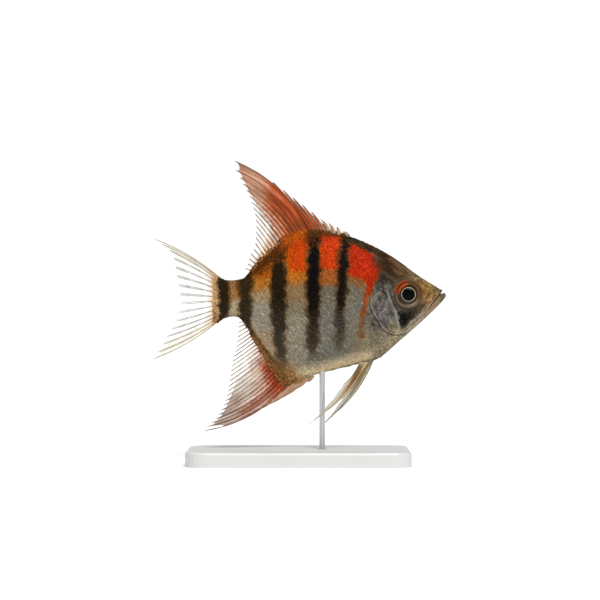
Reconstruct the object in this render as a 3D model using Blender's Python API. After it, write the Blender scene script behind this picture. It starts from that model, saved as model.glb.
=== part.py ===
"""Freshwater angelfish (Pterophyllum scalare): a life-size still model on a plain display stand.

The fish swims toward +X with its right side toward -Y and its back toward +Z. Outlines are in
millimetres, as (forward, up) from the middle of the fish's length and the eye-to-tail axis. The body
is one lofted solid, parted by thin cuts into head, jaw, gill covers, trunk and tail stalk. Each fin is
a fan of rays with a thinner web between them.
"""
import math

import bmesh
import bpy
import numpy as np
from mathutils import Vector

# ---------------------------------------------------------------- driving dimensions, millimetres
MM = 0.001                  # metres in a millimetre
SLIT = 0.3                  # clearance between neighbouring parts
AXIS_HEIGHT = 45.0          # eye-to-tail axis above the floor

NOSE_X = 39.9               # lower lip
TAIL_ROOT_X = -21.4         # where the stalk ends and the tail rays begin
STALK_X = -16.2             # where the trunk narrows to the tail stalk

# Side view of the body: back and belly, nose to tail.
BACK = [(39.9, 0.5), (38.2, 2.3), (32.8, 5.7), (24.7, 11.4), (16.6, 15.5), (9.9, 17.2), (5.0, 17.7),
        (0.4, 16.7), (-5.0, 13.5), (-9.8, 9.5), (-13.3, 5.8), (-17.0, 4.6), (-20.0, 4.8), (-22.5, 6.6)]
BELLY = [(39.9, 0.1), (38.2, -2.1), (32.8, -7.3), (27.4, -12.0), (22.0, -16.5), (16.6, -18.1),
         (5.8, -20.8), (-0.5, -22.7), (-3.5, -21.7), (-7.7, -16.6), (-13.1, -8.4), (-15.0, -5.9),
         (-17.5, -5.3), (-20.0, -5.9), (-22.5, -7.7)]
# Top view: half the body's width, and the height at which the body is widest.
HALF_WIDTH = [(39.9, 0.5), (38.3, 1.4), (35.0, 2.9), (30.0, 4.3), (24.0, 5.2), (18.0, 5.4),
              (10.0, 5.1), (0.0, 4.1), (-8.0, 2.9), (-14.0, 2.1), (-18.0, 1.7), (-22.5, 1.1)]
WIDEST_Z = [(39.9, 0.3), (30.0, 0.5), (20.0, -1.0), (8.0, -2.0), (0.0, -1.5), (-10.0, -0.8),
            (-16.0, -0.3), (-22.5, -0.5)]
# Sharpness of the back and belly edges: 1 is an ellipse, more is a lens with keeled edges.
KEEL = [(39.9, 0.8), (28.0, 0.85), (18.0, 1.1), (5.0, 1.3), (-8.0, 1.35), (-16.0, 1.0), (-22.5, 1.0)]
BODY_STATIONS = 44
BODY_SIDES = 20

# Head: gill opening from nape to throat, gill cover, and the mouth line. The cover's outline is its
# front edge, then points behind the gill opening, which trims its rear edge.
GILL_OPENING = [(19.6, 18.0), (20.9, 9.5), (21.2, 2.8), (18.8, -1.4), (19.5, -4.4), (21.2, -7.4),
                (23.6, -9.9), (26.4, -11.6), (29.0, -15.5)]
COVER_FRONT = [(26.6, -9.6), (26.7, -7.6), (26.1, -5.0), (25.0, -2.4), (24.2, 0.4), (22.9, 2.2)]
COVER_BEHIND = [(18.5, 1.4), (14.0, -4.0), (20.0, -13.5)]
COVER_DEPTH_Y = 3.4         # the gill covers lie outside this distance from the mid-plane
MOUTH = [(40.6, 0.9), (38.6, 0.7), (37.4, -0.8), (36.1, -2.4), (34.7, -4.0), (33.0, -5.7), (31.0, -7.4)]

EYE_X, EYE_Z = 29.5, 0.7
EYE_RADIUS = 3.3
EYE_FLATTEN = 0.7           # eyeball depth over its height
EYE_Y = 2.7

# Fins. Ray counts are the species': spines, then soft rays.
WEB_HALF = 0.25             # half the thickness of the web
RAY_HALF = 0.42             # half the thickness of a ray at its root
RAY_TIP_HALF = 0.26
SPINE_WEB_REACH = 0.72      # share of the spines and of the soft rays that the web spans
SOFT_WEB_REACH = 0.93
ROOT_CLEARANCE = 0.35       # fin root off the body

DORSAL_SPINES, DORSAL_SOFT = 11, 24
DORSAL_SPINE_ROOTS = (13.1, 3.0)
DORSAL_SOFT_ROOTS = (1.8, -12.2)
DORSAL_SPINE_TIPS = [(12.3, 17.8), (8.3, 19.9), (4.1, 22.6), (-1.5, 26.6), (-6.6, 30.3)]
DORSAL_SOFT_TIPS = [(-17.6, 36.9), (-17.7, 35.0), (-15.1, 30.5), (-12.9, 26.2), (-11.6, 21.5),
                    (-11.5, 16.8), (-11.9, 13.6), (-13.2, 11.2), (-13.4, 9.4), (-14.4, 7.7)]
DORSAL_BOW = (0.115, 0.0)   # sideways bulge of the first and last soft ray, over ray length

ANAL_SPINES, ANAL_SOFT = 6, 26
ANAL_SPINE_ROOTS = (3.4, -1.6)
ANAL_SOFT_ROOTS = (-2.6, -15.4)
ANAL_SPINE_TIPS = [(2.3, -22.9), (-2.4, -25.8), (-5.6, -27.9), (-10.6, -30.6), (-15.8, -33.0)]
ANAL_SOFT_TIPS = [(-25.8, -36.2), (-24.6, -34.7), (-22.2, -32.4), (-19.8, -27.7), (-18.7, -22.4),
                  (-17.9, -17.6), (-16.8, -13.5), (-16.1, -9.7), (-15.9, -7.0)]
ANAL_BOW = (0.105, 0.02)

TAIL_RAYS = 16
TAIL_ROOT_TOP, TAIL_ROOT_BOTTOM = 5.5, -6.5
TAIL_TIPS = [(-39.0, 15.7), (-34.6, 12.2), (-33.5, 8.0), (-32.6, 3.0), (-32.4, -1.0), (-33.2, -6.0),
             (-36.3, -11.3), (-39.9, -17.1)]
TAIL_BOW = 0.045

PELVIC_ROOT_X = 17.9        # front of the belly edge where the pelvic fins stand
PELVIC_ROOT_WIDTH = 2.0
PELVIC_ROOT_Y = 1.1
PELVIC_TIPS = [(15.5, 1.6), (24.1, 0.0), (19.5, 0.6), (15.5, 0.5), (11.5, 0.3), (7.5, -0.2)]
PELVIC_BOW = 0.06
PELVIC_SWEEP = {"left": 52.0, "right": 46.0}        # degrees below the backward direction
PELVIC_ROOT_SHIFT = {"left": 0.9, "right": -0.6}    # left fin starts a little further forward
PELVIC_SPLAY = 12.0         # degrees out from the mid-plane

PECTORAL_RAYS = 11
PECTORAL_ROOT = [(18.0, -5.2), (17.0, -9.4)]
PECTORAL_TIPS = [(9.8, -3.6), (7.7, -6.2), (7.9, -9.6), (10.0, -12.3), (13.4, -13.2)]
PECTORAL_FLARE = 26.0       # degrees out from the flank

# The tail half of the fish swings gently to its left, as in a slow stroke.
SWING_START_X = 4.0
SWING_END_X = -39.9
SWING_Y = 1.6

# Stand: a rounded slab and a steel rod into the belly.
BASE_LENGTH, BASE_WIDTH, BASE_THICKNESS = 60.0, 36.0, 4.0
BASE_CORNER = 5.0
BASE_EDGE = 0.6
ROD_X = 6.4
ROD_RADIUS = 0.8
ROD_INTO_BELLY = 4.0
ROD_INTO_BASE = 3.0


# ---------------------------------------------------------------- helpers
def clear_scene():
    for item in list(bpy.data.objects):
        bpy.data.objects.remove(item, do_unlink=True)


def material(name, color, roughness, metallic=0.0):
    made = bpy.data.materials.new(name)
    made.use_nodes = True
    shader = made.node_tree.nodes["Principled BSDF"]
    shader.inputs["Base Color"].default_value = (*color, 1.0)
    shader.inputs["Roughness"].default_value = roughness
    shader.inputs["Metallic"].default_value = metallic
    return made


def curve_through(points, count):
    """A smooth curve through the points, sampled at even distances."""
    knots = np.array(points, dtype=float)
    ends = np.vstack([2 * knots[0] - knots[1], knots, 2 * knots[-1] - knots[-2]])
    fine = []
    for before, start, end, after in zip(ends, ends[1:], ends[2:], ends[3:]):
        for t in np.linspace(0.0, 1.0, 24, endpoint=False):
            fine.append(0.5 * (2 * start + (end - before) * t
                               + (2 * before - 5 * start + 4 * end - after) * t ** 2
                               + (3 * start - before - 3 * end + after) * t ** 3))
    fine = np.array(fine + [knots[-1]])
    run = np.concatenate([[0.0], np.cumsum(np.linalg.norm(np.diff(fine, axis=0), axis=1))])
    wanted = np.linspace(0.0, run[-1], count)
    return np.column_stack([np.interp(wanted, run, fine[:, axis]) for axis in range(2)])


def profile(points):
    """The curve's second value as a function of the forward position."""
    dense = curve_through(points, 400)[::-1]
    return lambda x: float(np.interp(x, dense[:, 0], dense[:, 1]))


back_at = profile(BACK)
belly_at = profile(BELLY)
half_width_at = profile(HALF_WIDTH)
widest_z_at = profile(WIDEST_Z)
keel_at = profile(KEEL)


def flank_at(x, z):
    """Distance of the body's skin from the mid-plane."""
    middle = widest_z_at(x)
    reach = back_at(x) - middle if z > middle else middle - belly_at(x)
    height = min(1.0, abs(z - middle) / reach)
    return half_width_at(x) * (1.0 - height ** 2) ** (keel_at(x) / 2)


def place(x, y, z):
    """A point of the fish in metres, with the tail half's swing added."""
    swing = max(0.0, (SWING_START_X - x) / (SWING_START_X - SWING_END_X)) ** 2
    return Vector((x, y + SWING_Y * swing, z + AXIS_HEIGHT)) * MM


def link_mesh(name, builder, skin=None):
    """A new object from a filled bmesh, with its faces turned outward."""
    bmesh.ops.recalc_face_normals(builder, faces=builder.faces)
    if builder.calc_volume(signed=True) < 0:
        bmesh.ops.reverse_faces(builder, faces=builder.faces)
    mesh = bpy.data.meshes.new(name)
    builder.to_mesh(mesh)
    builder.free()
    piece = bpy.data.objects.new(name, mesh)
    bpy.context.scene.collection.objects.link(piece)
    if skin:
        mesh.materials.append(skin)
    return piece


def as_cutter(piece):
    piece.hide_render = True
    piece.display_type = "WIRE"
    return piece


def boolean(piece, cutter, operation):
    step = piece.modifiers.new(cutter.name, "BOOLEAN")
    step.operation = operation
    step.object = cutter
    step.solver = "EXACT"


def prism(name, outline, near_y=-9.0, far_y=9.0):
    """A cutter: a side-view outline carried straight across the body."""
    builder = bmesh.new()
    near = [builder.verts.new(place(x, near_y, z)) for x, z in outline]
    far = [builder.verts.new(place(x, far_y, z)) for x, z in outline]
    builder.faces.new(near)
    builder.faces.new(far[::-1])
    for index in range(len(outline)):
        following = (index + 1) % len(outline)
        builder.faces.new((near[index], far[index], far[following], near[following]))
    return as_cutter(link_mesh(name, builder))


def offset_path(points, distance):
    """The open path moved sideways, to its left where distance is positive."""
    path = np.array(points, dtype=float)
    run = np.gradient(path, axis=0)
    run /= np.linalg.norm(run, axis=1)[:, None]
    return path + distance * np.column_stack([-run[:, 1], run[:, 0]])


# ---------------------------------------------------------------- body
def body_loft(name, skin):
    """The whole body from lips to tail root: rings of skin points, closed at both ends."""
    builder = bmesh.new()
    rings = []
    for share in np.linspace(0.0, 1.0, BODY_STATIONS):
        x = NOSE_X + (TAIL_ROOT_X - NOSE_X) * share ** 1.35
        middle = widest_z_at(x)
        ring = []
        for turn in range(BODY_SIDES):
            angle = 2 * math.pi * turn / BODY_SIDES
            reach = back_at(x) - middle if math.cos(angle) > 0 else middle - belly_at(x)
            side = math.copysign(abs(math.sin(angle)) ** keel_at(x), math.sin(angle))
            ring.append(builder.verts.new(place(x, half_width_at(x) * side,
                                                middle + reach * math.cos(angle))))
        rings.append(ring)
    for ring, following in zip(rings, rings[1:]):
        for turn in range(BODY_SIDES):
            beside = (turn + 1) % BODY_SIDES
            builder.faces.new((ring[turn], ring[beside], following[beside], following[turn]))
    builder.faces.new(rings[0])
    builder.faces.new(rings[-1][::-1])
    piece = link_mesh(name, builder, skin)
    piece.data.shade_smooth()
    return piece


def ball(name, x, y, z, radius, skin=None):
    """An eyeball's flattened sphere."""
    builder = bmesh.new()
    bmesh.ops.create_uvsphere(builder, u_segments=16, v_segments=10, radius=radius * MM)
    for vertex in builder.verts:
        vertex.co.y *= EYE_FLATTEN
        vertex.co += place(x, y, z)
    piece = link_mesh(name, builder, skin)
    piece.data.shade_smooth()
    return piece


def upright_bar(name, radius, low, high, skin=None):
    """A round bar at the rod's place, between two heights above the floor."""
    builder = bmesh.new()
    bmesh.ops.create_cone(builder, cap_ends=True, segments=20, radius1=radius * MM,
                          radius2=radius * MM, depth=(high - low) * MM)
    for vertex in builder.verts:
        vertex.co += Vector((ROD_X, 0.0, (low + high) / 2)) * MM
    return link_mesh(name, builder, skin)


def build_body(skin, eye_skin):
    """The body's parts: each is the loft kept inside one zone, less what its neighbours fill."""
    opening = curve_through(GILL_OPENING, 24)
    ahead = offset_path(opening, SLIT / 2)
    behind = offset_path(opening, -SLIT / 2)
    mouth = curve_through(MOUTH, 10)
    mouth_above = offset_path(mouth, -SLIT / 2)
    mouth_below = offset_path(mouth, SLIT / 2)
    cover = np.vstack([curve_through(COVER_FRONT, 10), COVER_BEHIND])
    cover_middle = cover.mean(axis=0)
    cover_run = cover - cover_middle
    pocket = cover_middle + cover_run * (1 + SLIT / np.linalg.norm(cover_run, axis=1))[:, None]

    head_zone = prism("cut_head_zone", [*ahead, (45, -24), (45, 24)])
    jaw_room = prism("cut_jaw_room", [*mouth_above, (29.5, -14), (45, -14)])
    jaw_zone = prism("cut_jaw_zone", [*mouth_below, (30.0, -14), (45, -14)])
    trunk_zone = prism("cut_trunk_zone", [*behind, (28, -30), (STALK_X, -30), (STALK_X, 24)])
    stalk_zone = prism("cut_stalk_zone", [(STALK_X - SLIT, 24), (STALK_X - SLIT, -24),
                                          (-30, -24), (-30, 24)])
    rod_room = as_cutter(upright_bar("cut_rod_room", ROD_RADIUS + SLIT, BASE_THICKNESS,
                                     AXIS_HEIGHT + belly_at(ROD_X) + ROD_INTO_BELLY + SLIT))

    head = body_loft("head", skin)
    boolean(head, head_zone, "INTERSECT")
    boolean(head, jaw_room, "DIFFERENCE")
    jaw = body_loft("lower_jaw", skin)
    boolean(jaw, jaw_zone, "INTERSECT")
    trunk = body_loft("trunk", skin)
    boolean(trunk, trunk_zone, "INTERSECT")
    boolean(trunk, rod_room, "DIFFERENCE")
    stalk = body_loft("tail_stalk", skin)
    boolean(stalk, stalk_zone, "INTERSECT")

    for side, sign in (("left", 1), ("right", -1)):
        eye_room = as_cutter(ball("cut_eye_room_" + side, EYE_X, sign * EYE_Y, EYE_Z, EYE_RADIUS + SLIT))
        boolean(head, eye_room, "DIFFERENCE")
        ball("eye_" + side, EYE_X, sign * EYE_Y, EYE_Z, EYE_RADIUS, eye_skin)
        plate_zone = prism("cut_cover_zone_" + side, cover, sign * COVER_DEPTH_Y, sign * 9)
        plate_room = prism("cut_cover_room_" + side, pocket, sign * (COVER_DEPTH_Y - SLIT), sign * 9)
        boolean(head, plate_room, "DIFFERENCE")
        plate = body_loft("gill_cover_" + side, skin)
        boolean(plate, plate_zone, "INTERSECT")
        boolean(plate, head_zone, "INTERSECT")


# ---------------------------------------------------------------- fins
def ray_line(root, tip, bow, steps):
    """A ray from root to tip, bulging sideways by bow times its length."""
    root, tip = np.array(root), np.array(tip)
    run = tip - root
    aside = np.array([-run[1], run[0]])
    share = np.linspace(0.0, 1.0, steps)[:, None]
    return root + run * share + aside * bow * 4 * share * (1 - share)


def ray_fan(name, rays, skin, web_reaches, side_at=lambda x, z: 0.0):
    """A fin: rays as ridges on both faces of a web that stops short of the ray tips.

    rays are (forward, up) lines with equally many points, web_reaches the share of its rays that
    each web spans, and side_at the fin's distance from the mid-plane.
    """
    columns = []
    steps = len(rays[0])
    share = np.linspace(0.0, 1.0, steps)
    for ray, following, reach in zip(rays, rays[1:] + [None], web_reaches + [None]):
        columns.append((ray, RAY_HALF + (RAY_TIP_HALF - RAY_HALF) * share))
        if reach:
            between = (ray + following) / 2
            web = np.column_stack([np.interp(share * reach, share, between[:, axis])
                                   for axis in range(2)])
            columns.append((web, np.full(steps, WEB_HALF)))
    builder = bmesh.new()
    faces = {}
    for sign in (1, -1):
        faces[sign] = [[builder.verts.new(place(x, side_at(x, z) + sign * half, z))
                        for (x, z), half in zip(line, halves)] for line, halves in columns]
    for near, following in zip(range(len(columns)), range(1, len(columns))):
        for step in range(steps - 1):
            for sign in (1, -1):
                grid = faces[sign]
                builder.faces.new((grid[near][step], grid[following][step],
                                   grid[following][step + 1], grid[near][step + 1]))
        for step in (0, steps - 1):
            builder.faces.new((faces[1][near][step], faces[1][following][step],
                               faces[-1][following][step], faces[-1][near][step]))
    for column in (0, -1):
        for step in range(steps - 1):
            builder.faces.new((faces[1][column][step], faces[1][column][step + 1],
                               faces[-1][column][step + 1], faces[-1][column][step]))
    return link_mesh(name, builder, skin)


def along_edge(edge_at, first_x, last_x, count, clearance):
    """Evenly spread points on the back or belly edge, raised off it."""
    walk = [(x, edge_at(x)) for x in np.linspace(first_x, last_x, 60)]
    return offset_path(curve_through(walk, count), clearance)


def median_fin(name, skin, edge_at, clearance, spine_roots, soft_roots, spine_tips, soft_tips,
               spines, soft, bow):
    """A dorsal or anal fin: short spines in front, then soft rays drawn out to a point."""
    roots = np.vstack([along_edge(edge_at, *spine_roots, spines, clearance),
                       along_edge(edge_at, *soft_roots, soft, clearance)])
    tips = np.vstack([curve_through(spine_tips, spines), curve_through(soft_tips, soft)])
    bows = np.concatenate([np.full(spines, 0.03), np.linspace(*bow, soft)]) * math.copysign(1, clearance)
    rays = [ray_line(root, tip, bulge, 6) for root, tip, bulge in zip(roots, tips, bows)]
    return ray_fan(name, rays, skin, [SPINE_WEB_REACH] * spines + [SOFT_WEB_REACH] * (soft - 1))


def tail_fin(skin):
    """Sixteen rays from the stalk, packed closest along the two outer edges."""
    tips = curve_through(TAIL_TIPS, TAIL_RAYS)
    middle = (TAIL_ROOT_TOP + TAIL_ROOT_BOTTOM) / 2
    half = (TAIL_ROOT_TOP - TAIL_ROOT_BOTTOM) / 2
    rays = []
    for share, tip in zip(np.linspace(1.0, -1.0, TAIL_RAYS), tips):
        root = (TAIL_ROOT_X - SLIT, middle + half * (1.35 * share - 0.35 * share ** 3))
        rays.append(ray_line(root, tip, -TAIL_BOW * share, 7))
    return ray_fan("tail_fin", rays, skin, [SOFT_WEB_REACH] * (TAIL_RAYS - 1))


def pelvic_fin(side, sign, skin):
    """A narrow blade: a spine, then soft rays whose first is a long filament."""
    sweep = math.radians(PELVIC_SWEEP[side])
    back = np.array([-math.cos(sweep), -math.sin(sweep)])
    front = np.array([-back[1], back[0]])
    root_x = PELVIC_ROOT_X + PELVIC_ROOT_SHIFT[side]
    root_z = belly_at(root_x) - ROOT_CLEARANCE
    rays = []
    for share, (along, ahead) in zip(np.linspace(0.5, -0.5, len(PELVIC_TIPS)), PELVIC_TIPS):
        root = np.array([root_x + PELVIC_ROOT_WIDTH * share, root_z])
        tip = np.array([root_x, root_z]) + back * along + front * ahead
        rays.append(ray_line(root, tip, PELVIC_BOW, 8))
    splay = math.tan(math.radians(PELVIC_SPLAY))
    return ray_fan("pelvic_fin_" + side, rays, skin, [SOFT_WEB_REACH] * (len(rays) - 1),
                   lambda x, z: sign * (PELVIC_ROOT_Y + splay * (root_z - z)))


def pectoral_fin(side, sign, skin):
    """A clear paddle behind the gill cover, held out from the flank."""
    roots = curve_through(PECTORAL_ROOT, PECTORAL_RAYS)
    tips = curve_through(PECTORAL_TIPS, PECTORAL_RAYS)
    rays = [ray_line(root, tip, 0.0, 5) for root, tip in zip(roots, tips)]
    root_x = PECTORAL_ROOT[0][0]
    root_y = max(flank_at(*root) for root in roots) + RAY_HALF + ROOT_CLEARANCE
    flare = math.tan(math.radians(PECTORAL_FLARE))
    return ray_fan("pectoral_fin_" + side, rays, skin, [SOFT_WEB_REACH] * (PECTORAL_RAYS - 1),
                   lambda x, z: sign * (root_y + flare * (root_x - x)))


# ---------------------------------------------------------------- stand
def stand_base(skin):
    """A rounded slab with a softened top edge and a blind hole for the rod."""
    builder = bmesh.new()
    bmesh.ops.create_cube(builder, size=1.0)
    for vertex in builder.verts:
        vertex.co = Vector((vertex.co.x * BASE_LENGTH, vertex.co.y * BASE_WIDTH,
                            (vertex.co.z + 0.5) * BASE_THICKNESS)) * MM
    corners = [edge for edge in builder.edges if abs(edge.verts[0].co.z - edge.verts[1].co.z) > 1e-6]
    bmesh.ops.bevel(builder, geom=corners, offset=BASE_CORNER * MM, segments=6, profile=0.5,
                    affect="EDGES")
    rim = [edge for edge in builder.edges if all(v.co.z > BASE_THICKNESS / 2 * MM for v in edge.verts)]
    bmesh.ops.bevel(builder, geom=rim, offset=BASE_EDGE * MM, segments=2, profile=0.5, affect="EDGES")
    slab = link_mesh("stand_base", builder, skin)
    hole = as_cutter(upright_bar("cut_rod_hole", ROD_RADIUS + SLIT,
                                 BASE_THICKNESS - ROD_INTO_BASE - SLIT, BASE_THICKNESS + 2))
    boolean(slab, hole, "DIFFERENCE")


def build():
    clear_scene()
    skin = material("skin", (0.42, 0.40, 0.36), 0.35)
    fin_skin = material("fin", (0.75, 0.42, 0.30), 0.45)
    eye_skin = material("eye", (0.05, 0.03, 0.02), 0.08)
    slab_skin = material("stand_base", (0.85, 0.85, 0.83), 0.4)
    rod_skin = material("stand_rod", (0.62, 0.63, 0.64), 0.25, 1.0)

    build_body(skin, eye_skin)
    median_fin("dorsal_fin", fin_skin, back_at, -ROOT_CLEARANCE, DORSAL_SPINE_ROOTS, DORSAL_SOFT_ROOTS,
               DORSAL_SPINE_TIPS, DORSAL_SOFT_TIPS, DORSAL_SPINES, DORSAL_SOFT, DORSAL_BOW)
    median_fin("anal_fin", fin_skin, belly_at, ROOT_CLEARANCE, ANAL_SPINE_ROOTS, ANAL_SOFT_ROOTS,
               ANAL_SPINE_TIPS, ANAL_SOFT_TIPS, ANAL_SPINES, ANAL_SOFT, ANAL_BOW)
    tail_fin(fin_skin)
    for side, sign in (("left", 1), ("right", -1)):
        pelvic_fin(side, sign, fin_skin)
        pectoral_fin(side, sign, fin_skin)

    stand_base(slab_skin)
    upright_bar("stand_rod", ROD_RADIUS, BASE_THICKNESS - ROD_INTO_BASE,
                AXIS_HEIGHT + belly_at(ROD_X) + ROD_INTO_BELLY, rod_skin)


build()
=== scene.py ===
import math

import bmesh
import bpy
import numpy as np
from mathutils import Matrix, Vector
from mathutils.bvhtree import BVHTree


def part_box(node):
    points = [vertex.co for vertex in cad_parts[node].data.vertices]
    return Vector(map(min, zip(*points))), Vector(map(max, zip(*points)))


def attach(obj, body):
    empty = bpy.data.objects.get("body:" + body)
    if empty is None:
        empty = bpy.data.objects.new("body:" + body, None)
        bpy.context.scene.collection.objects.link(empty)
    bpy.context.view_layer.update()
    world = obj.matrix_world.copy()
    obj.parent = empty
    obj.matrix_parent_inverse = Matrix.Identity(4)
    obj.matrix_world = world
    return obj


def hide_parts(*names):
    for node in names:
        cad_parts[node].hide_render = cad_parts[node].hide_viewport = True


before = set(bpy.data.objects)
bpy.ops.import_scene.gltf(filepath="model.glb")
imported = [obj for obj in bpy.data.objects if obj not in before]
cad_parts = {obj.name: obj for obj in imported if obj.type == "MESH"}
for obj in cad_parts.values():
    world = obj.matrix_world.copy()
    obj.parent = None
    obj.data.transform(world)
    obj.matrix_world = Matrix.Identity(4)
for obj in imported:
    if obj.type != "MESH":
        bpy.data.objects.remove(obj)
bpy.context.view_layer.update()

# ---------------------------------------------------------------- skin
# One closed skin over head, jaw, gill covers, trunk and tail stalk: wet hide stretched over the skull
# bones in front, and over muscle behind. A fine loft of the body's outlines is modelled in its head
# with the mouth, the gill cover's plates, the eye sockets and the nostrils.
MM = 0.001
eye_low, eye_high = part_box("eye_right")
jaw_tip_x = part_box("lower_jaw")[1].x / MM
tail_tip_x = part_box("tail_fin")[0].x / MM
EYE_ABOVE_AXIS = 0.7
EYE_X = (eye_low.x + eye_high.x) / 2 / MM
EYE_RADIUS = (eye_high.z - eye_low.z) / 2 / MM
EYE_OUT = -(eye_low.y + eye_high.y) / 2 / MM
EYE_DEPTH = (eye_high.y - eye_low.y) / 2 / MM
AXIS_HEIGHT = (eye_low.z + eye_high.z) / 2 / MM - EYE_ABOVE_AXIS

# The body's outlines in millimetres: forward, then up from the eye-to-tail axis.
BACK = [(39.9, 0.5), (38.2, 2.3), (32.8, 5.7), (24.7, 11.4), (16.6, 15.5), (9.9, 17.2), (5.0, 17.7),
        (0.4, 16.7), (-5.0, 13.5), (-9.8, 9.5), (-13.3, 5.8), (-17.0, 4.6), (-20.0, 4.8), (-22.0, 6.0),
        (-23.6, 6.4)]
BELLY = [(39.9, 0.1), (38.2, -2.1), (32.8, -7.3), (27.4, -12.0), (22.0, -16.5), (16.6, -18.1),
         (5.8, -20.8), (-0.5, -22.7), (-3.5, -21.7), (-7.7, -16.6), (-13.1, -8.4), (-15.0, -5.9),
         (-17.5, -5.3), (-20.0, -5.9), (-22.0, -7.2), (-23.6, -7.6)]
HALF_WIDTH = [(39.9, 0.5), (38.3, 1.4), (35.0, 2.9), (30.0, 4.3), (24.0, 5.2), (18.0, 5.4),
              (10.0, 5.1), (0.0, 4.1), (-8.0, 2.9), (-14.0, 2.1), (-18.0, 1.7), (-21.4, 1.2),
              (-23.6, 0.3)]
WIDEST_Z = [(39.9, 0.3), (30.0, 0.5), (20.0, -1.0), (8.0, -2.0), (0.0, -1.5), (-10.0, -0.8),
            (-16.0, -0.3), (-23.6, -0.5)]
KEEL = [(39.9, 0.8), (28.0, 0.85), (18.0, 1.1), (5.0, 1.3), (-8.0, 1.35), (-16.0, 1.0), (-23.6, 1.0)]
SKIN_DEPTH = 0.16            # how far the skin lies inside the body's outer surface
FOLD_LIMIT = 0.12            # how far the head's folds may stand out of that surface
RELIEF_START_X = 15.5        # the head's relief lies forward of this
SOCKET_DEPTH = 2.1
SKIN_END_X = -23.2           # the scaly foot of the tail fin
HEAD_END_X = 17.0
HEAD_STATIONS, TRUNK_STATIONS = 164, 82
RING_POINTS = 400
# Fleshy foot of the dorsal and the anal fin, as height over the body's edge.
DORSAL_FOOT = [(13.4, 0.0), (10.0, 0.35), (5.0, 0.9), (0.0, 1.8), (-4.0, 1.5), (-9.0, 1.0),
               (-12.0, 0.6), (-14.0, 0.0)]
ANAL_FOOT = [(4.0, 0.0), (1.5, 0.9), (-1.5, 2.0), (-4.5, 2.0), (-8.0, 1.2), (-12.0, 0.7),
             (-15.0, 0.4), (-16.0, 0.0)]
SWING_START_X, SWING_Y = 4.0, 1.6


def curve_through(points, count):
    """A smooth curve through the points, sampled at even distances."""
    knots = np.array(points, dtype=float)
    ends = np.vstack([2 * knots[0] - knots[1], knots, 2 * knots[-1] - knots[-2]])
    t = np.linspace(0.0, 1.0, 24, endpoint=False)[:, None]
    fine = [0.5 * (2 * start + (end - before) * t + (2 * before - 5 * start + 4 * end - after) * t ** 2
                   + (3 * start - before - 3 * end + after) * t ** 3)
            for before, start, end, after in zip(ends, ends[1:], ends[2:], ends[3:])]
    fine = np.vstack([*fine, knots[-1:]])
    run = np.concatenate([[0.0], np.cumsum(np.linalg.norm(np.diff(fine, axis=0), axis=1))])
    wanted = np.linspace(0.0, run[-1], count)
    return np.column_stack([np.interp(wanted, run, fine[:, axis]) for axis in range(2)])


def profile(points):
    """The curve's second value as a function of the forward position."""
    dense = curve_through(points, 400)[::-1]
    return lambda x: np.interp(x, dense[:, 0], dense[:, 1])


back_at, belly_at, half_width_at = profile(BACK), profile(BELLY), profile(HALF_WIDTH)
widest_z_at, keel_at = profile(WIDEST_Z), profile(KEEL)
dorsal_foot_at, anal_foot_at = profile(DORSAL_FOOT), profile(ANAL_FOOT)


def rise(value, low, high):
    """0 below low, 1 above high and smooth between, or the reverse where low is above high."""
    share = np.clip((value - low) / (high - low), 0.0, 1.0)
    return share * share * (3 - 2 * share)


def placed(x, y, z):
    """Points of the fish in metres, with the tail half's gentle swing added."""
    swing = np.maximum(0.0, (SWING_START_X - x) / (SWING_START_X - tail_tip_x)) ** 2
    return np.stack([x, y + SWING_Y * swing, z + AXIS_HEIGHT], axis=-1) * MM


def body_point(x, angle):
    """The body's outer surface at a forward position and a turn from the back's edge."""
    middle = widest_z_at(x)
    reach = np.where(np.cos(angle) > 0, back_at(x) - middle, middle - belly_at(x))
    y = half_width_at(x) * np.sign(np.sin(angle)) * np.abs(np.sin(angle)) ** keel_at(x)
    return y, middle + reach * np.cos(angle)


def beside_line(points, x, z):
    """Distance to a line drawn on the side view, positive to its left, and the share along it."""
    line = curve_through(points, 60)
    best = np.full(x.shape, 1e9)
    side = np.zeros(x.shape)
    along = np.zeros(x.shape)
    for index, (start, end) in enumerate(zip(line, line[1:])):
        run = end - start
        share = np.clip(((x - start[0]) * run[0] + (z - start[1]) * run[1]) / (run @ run), 0.0, 1.0)
        off_x, off_z = x - start[0] - run[0] * share, z - start[1] - run[1] * share
        gap = np.hypot(off_x, off_z)
        nearer = gap < best
        best = np.where(nearer, gap, best)
        side = np.where(nearer, np.sign(run[0] * off_z - run[1] * off_x), side)
        along = np.where(nearer, (index + share) / (len(line) - 1), along)
    return best * side, along


def ridge(distance, width):
    return np.exp(-(distance / width) ** 2)


def ends_off(along, first=0.08, last=0.92):
    """Fades a line's relief out towards both of its ends."""
    return rise(along, 0.0, first) * rise(along, 1.0, last)


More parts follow.
